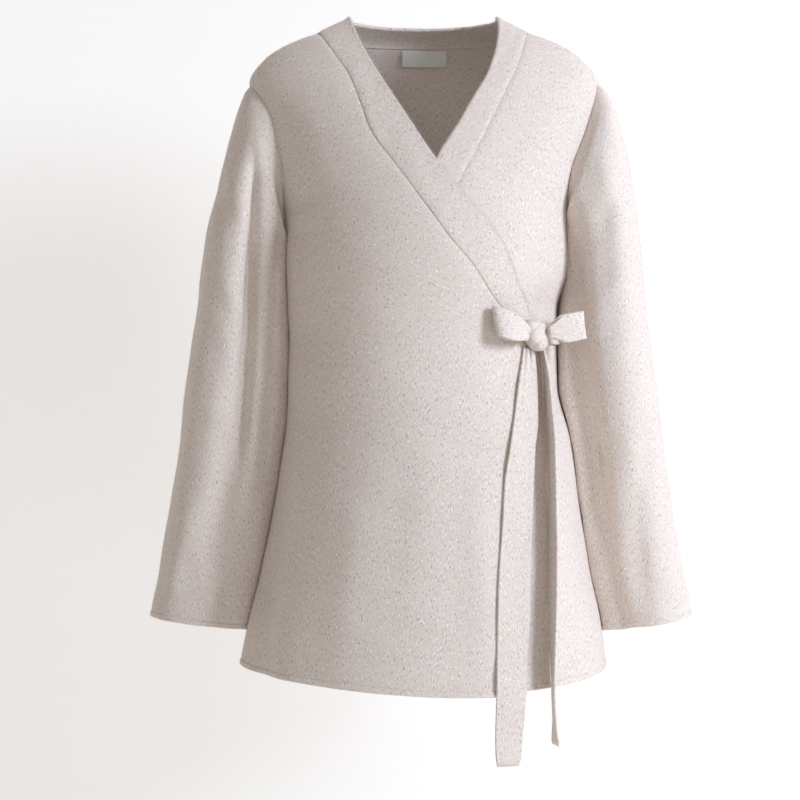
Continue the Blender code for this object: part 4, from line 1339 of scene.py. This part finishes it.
def plain_plane(name, corners, code, glow, one_sided=False):
    mesh = bpy.data.meshes.new(name)
    mesh.from_pydata(corners, [], [[0, 1, 2, 3]])
    made = placed(name, mesh)
    material, tree, shader = surface(name + "_paper", Base_Color=(*colour(code), 1), Roughness=1.0,
                                     Specular_IOR_Level=0.0, Emission_Color=(*colour("#FFFDFB"), 1),
                                     Emission_Strength=glow)
    if one_sided:
        back = add(tree, "ShaderNodeNewGeometry").outputs["Backfacing"]
        clear = add(tree, "ShaderNodeBsdfTransparent").outputs[0]
        mix = add(tree, "ShaderNodeMixShader", inputs={0: back, 1: shader.outputs[0], 2: clear})
        tree.links.new(mix.outputs[0], tree.nodes["Material Output"].inputs["Surface"])
    mesh.materials.append(material)
    return made


def light(name, place, aim, size, watts, code, cone=None):
    """A soft rectangular light, or a round one with a cone in degrees."""
    data = bpy.data.lights.new(name, "SPOT" if cone else "AREA")
    if cone:
        data.spot_size, data.spot_blend = math.radians(cone), 1.0
        data.shadow_soft_size = size[0] / 2
    else:
        data.shape = "RECTANGLE"
        data.size, data.size_y = size
    data.energy = watts
    data.color = colour(code)
    made = bpy.data.objects.new(name, data)
    bpy.context.scene.collection.objects.link(made)
    made.location = place
    toward = Vector(aim) - Vector(place)
    made.rotation_euler = toward.to_track_quat("-Z", "Y").to_euler()


def studio():
    """Pale floor and wall, soft light, and the camera."""
    wide, y = 3.0, WALL_AWAY
    plain_plane("floor", [(-wide, -wide, FLOOR), (wide, -wide, FLOOR), (wide, wide, FLOOR),
                          (-wide, wide, FLOOR)], "#F4F1EC", 0.1)
    plain_plane("wall", [(-wide, y, FLOOR), (wide, y, FLOOR), (wide, y, 2.0), (-wide, y, 2.0)],
                "#C4C2BF", 0.5, one_sided=True)
    light("key", (2.8, -1.8, 0.9), (0.0, 0.0, -0.35), (1.0, 1.4), 124, "#E0ECFF")
    light("fill", (-0.4, -3.2, 0.6), (0.0, 0.0, -0.4), (1.6, 1.6), 13, "#EAF2FF")
    light("neck", (0.25, -1.5, 1.3), (0.0, 0.05, 0.0), (0.3, 0.3), 9.0, "#FFF6EC", cone=15)
    world = bpy.data.worlds.new("studio")
    world.use_nodes = True
    world.node_tree.nodes["Background"].inputs["Color"].default_value = (*colour("#FFF6EC"), 1)
    world.node_tree.nodes["Background"].inputs["Strength"].default_value = 0.27
    bpy.context.scene.world = world
    bpy.context.scene.view_settings.view_transform = "Standard"
    data = bpy.data.cameras.new("camera")
    data.sensor_width = SENSOR
    data.lens = SENSOR * CAMERA_AWAY / VIEW_WIDTH
    data.shift_x = SIDE_SHIFT
    camera = bpy.data.objects.new("camera", data)
    camera.location = (0, -CAMERA_AWAY, CAMERA_HEIGHT)
    camera.rotation_euler = (math.radians(90), 0, 0)
    bpy.context.scene.collection.objects.link(camera)
    bpy.context.scene.camera = camera


studio()
dress()
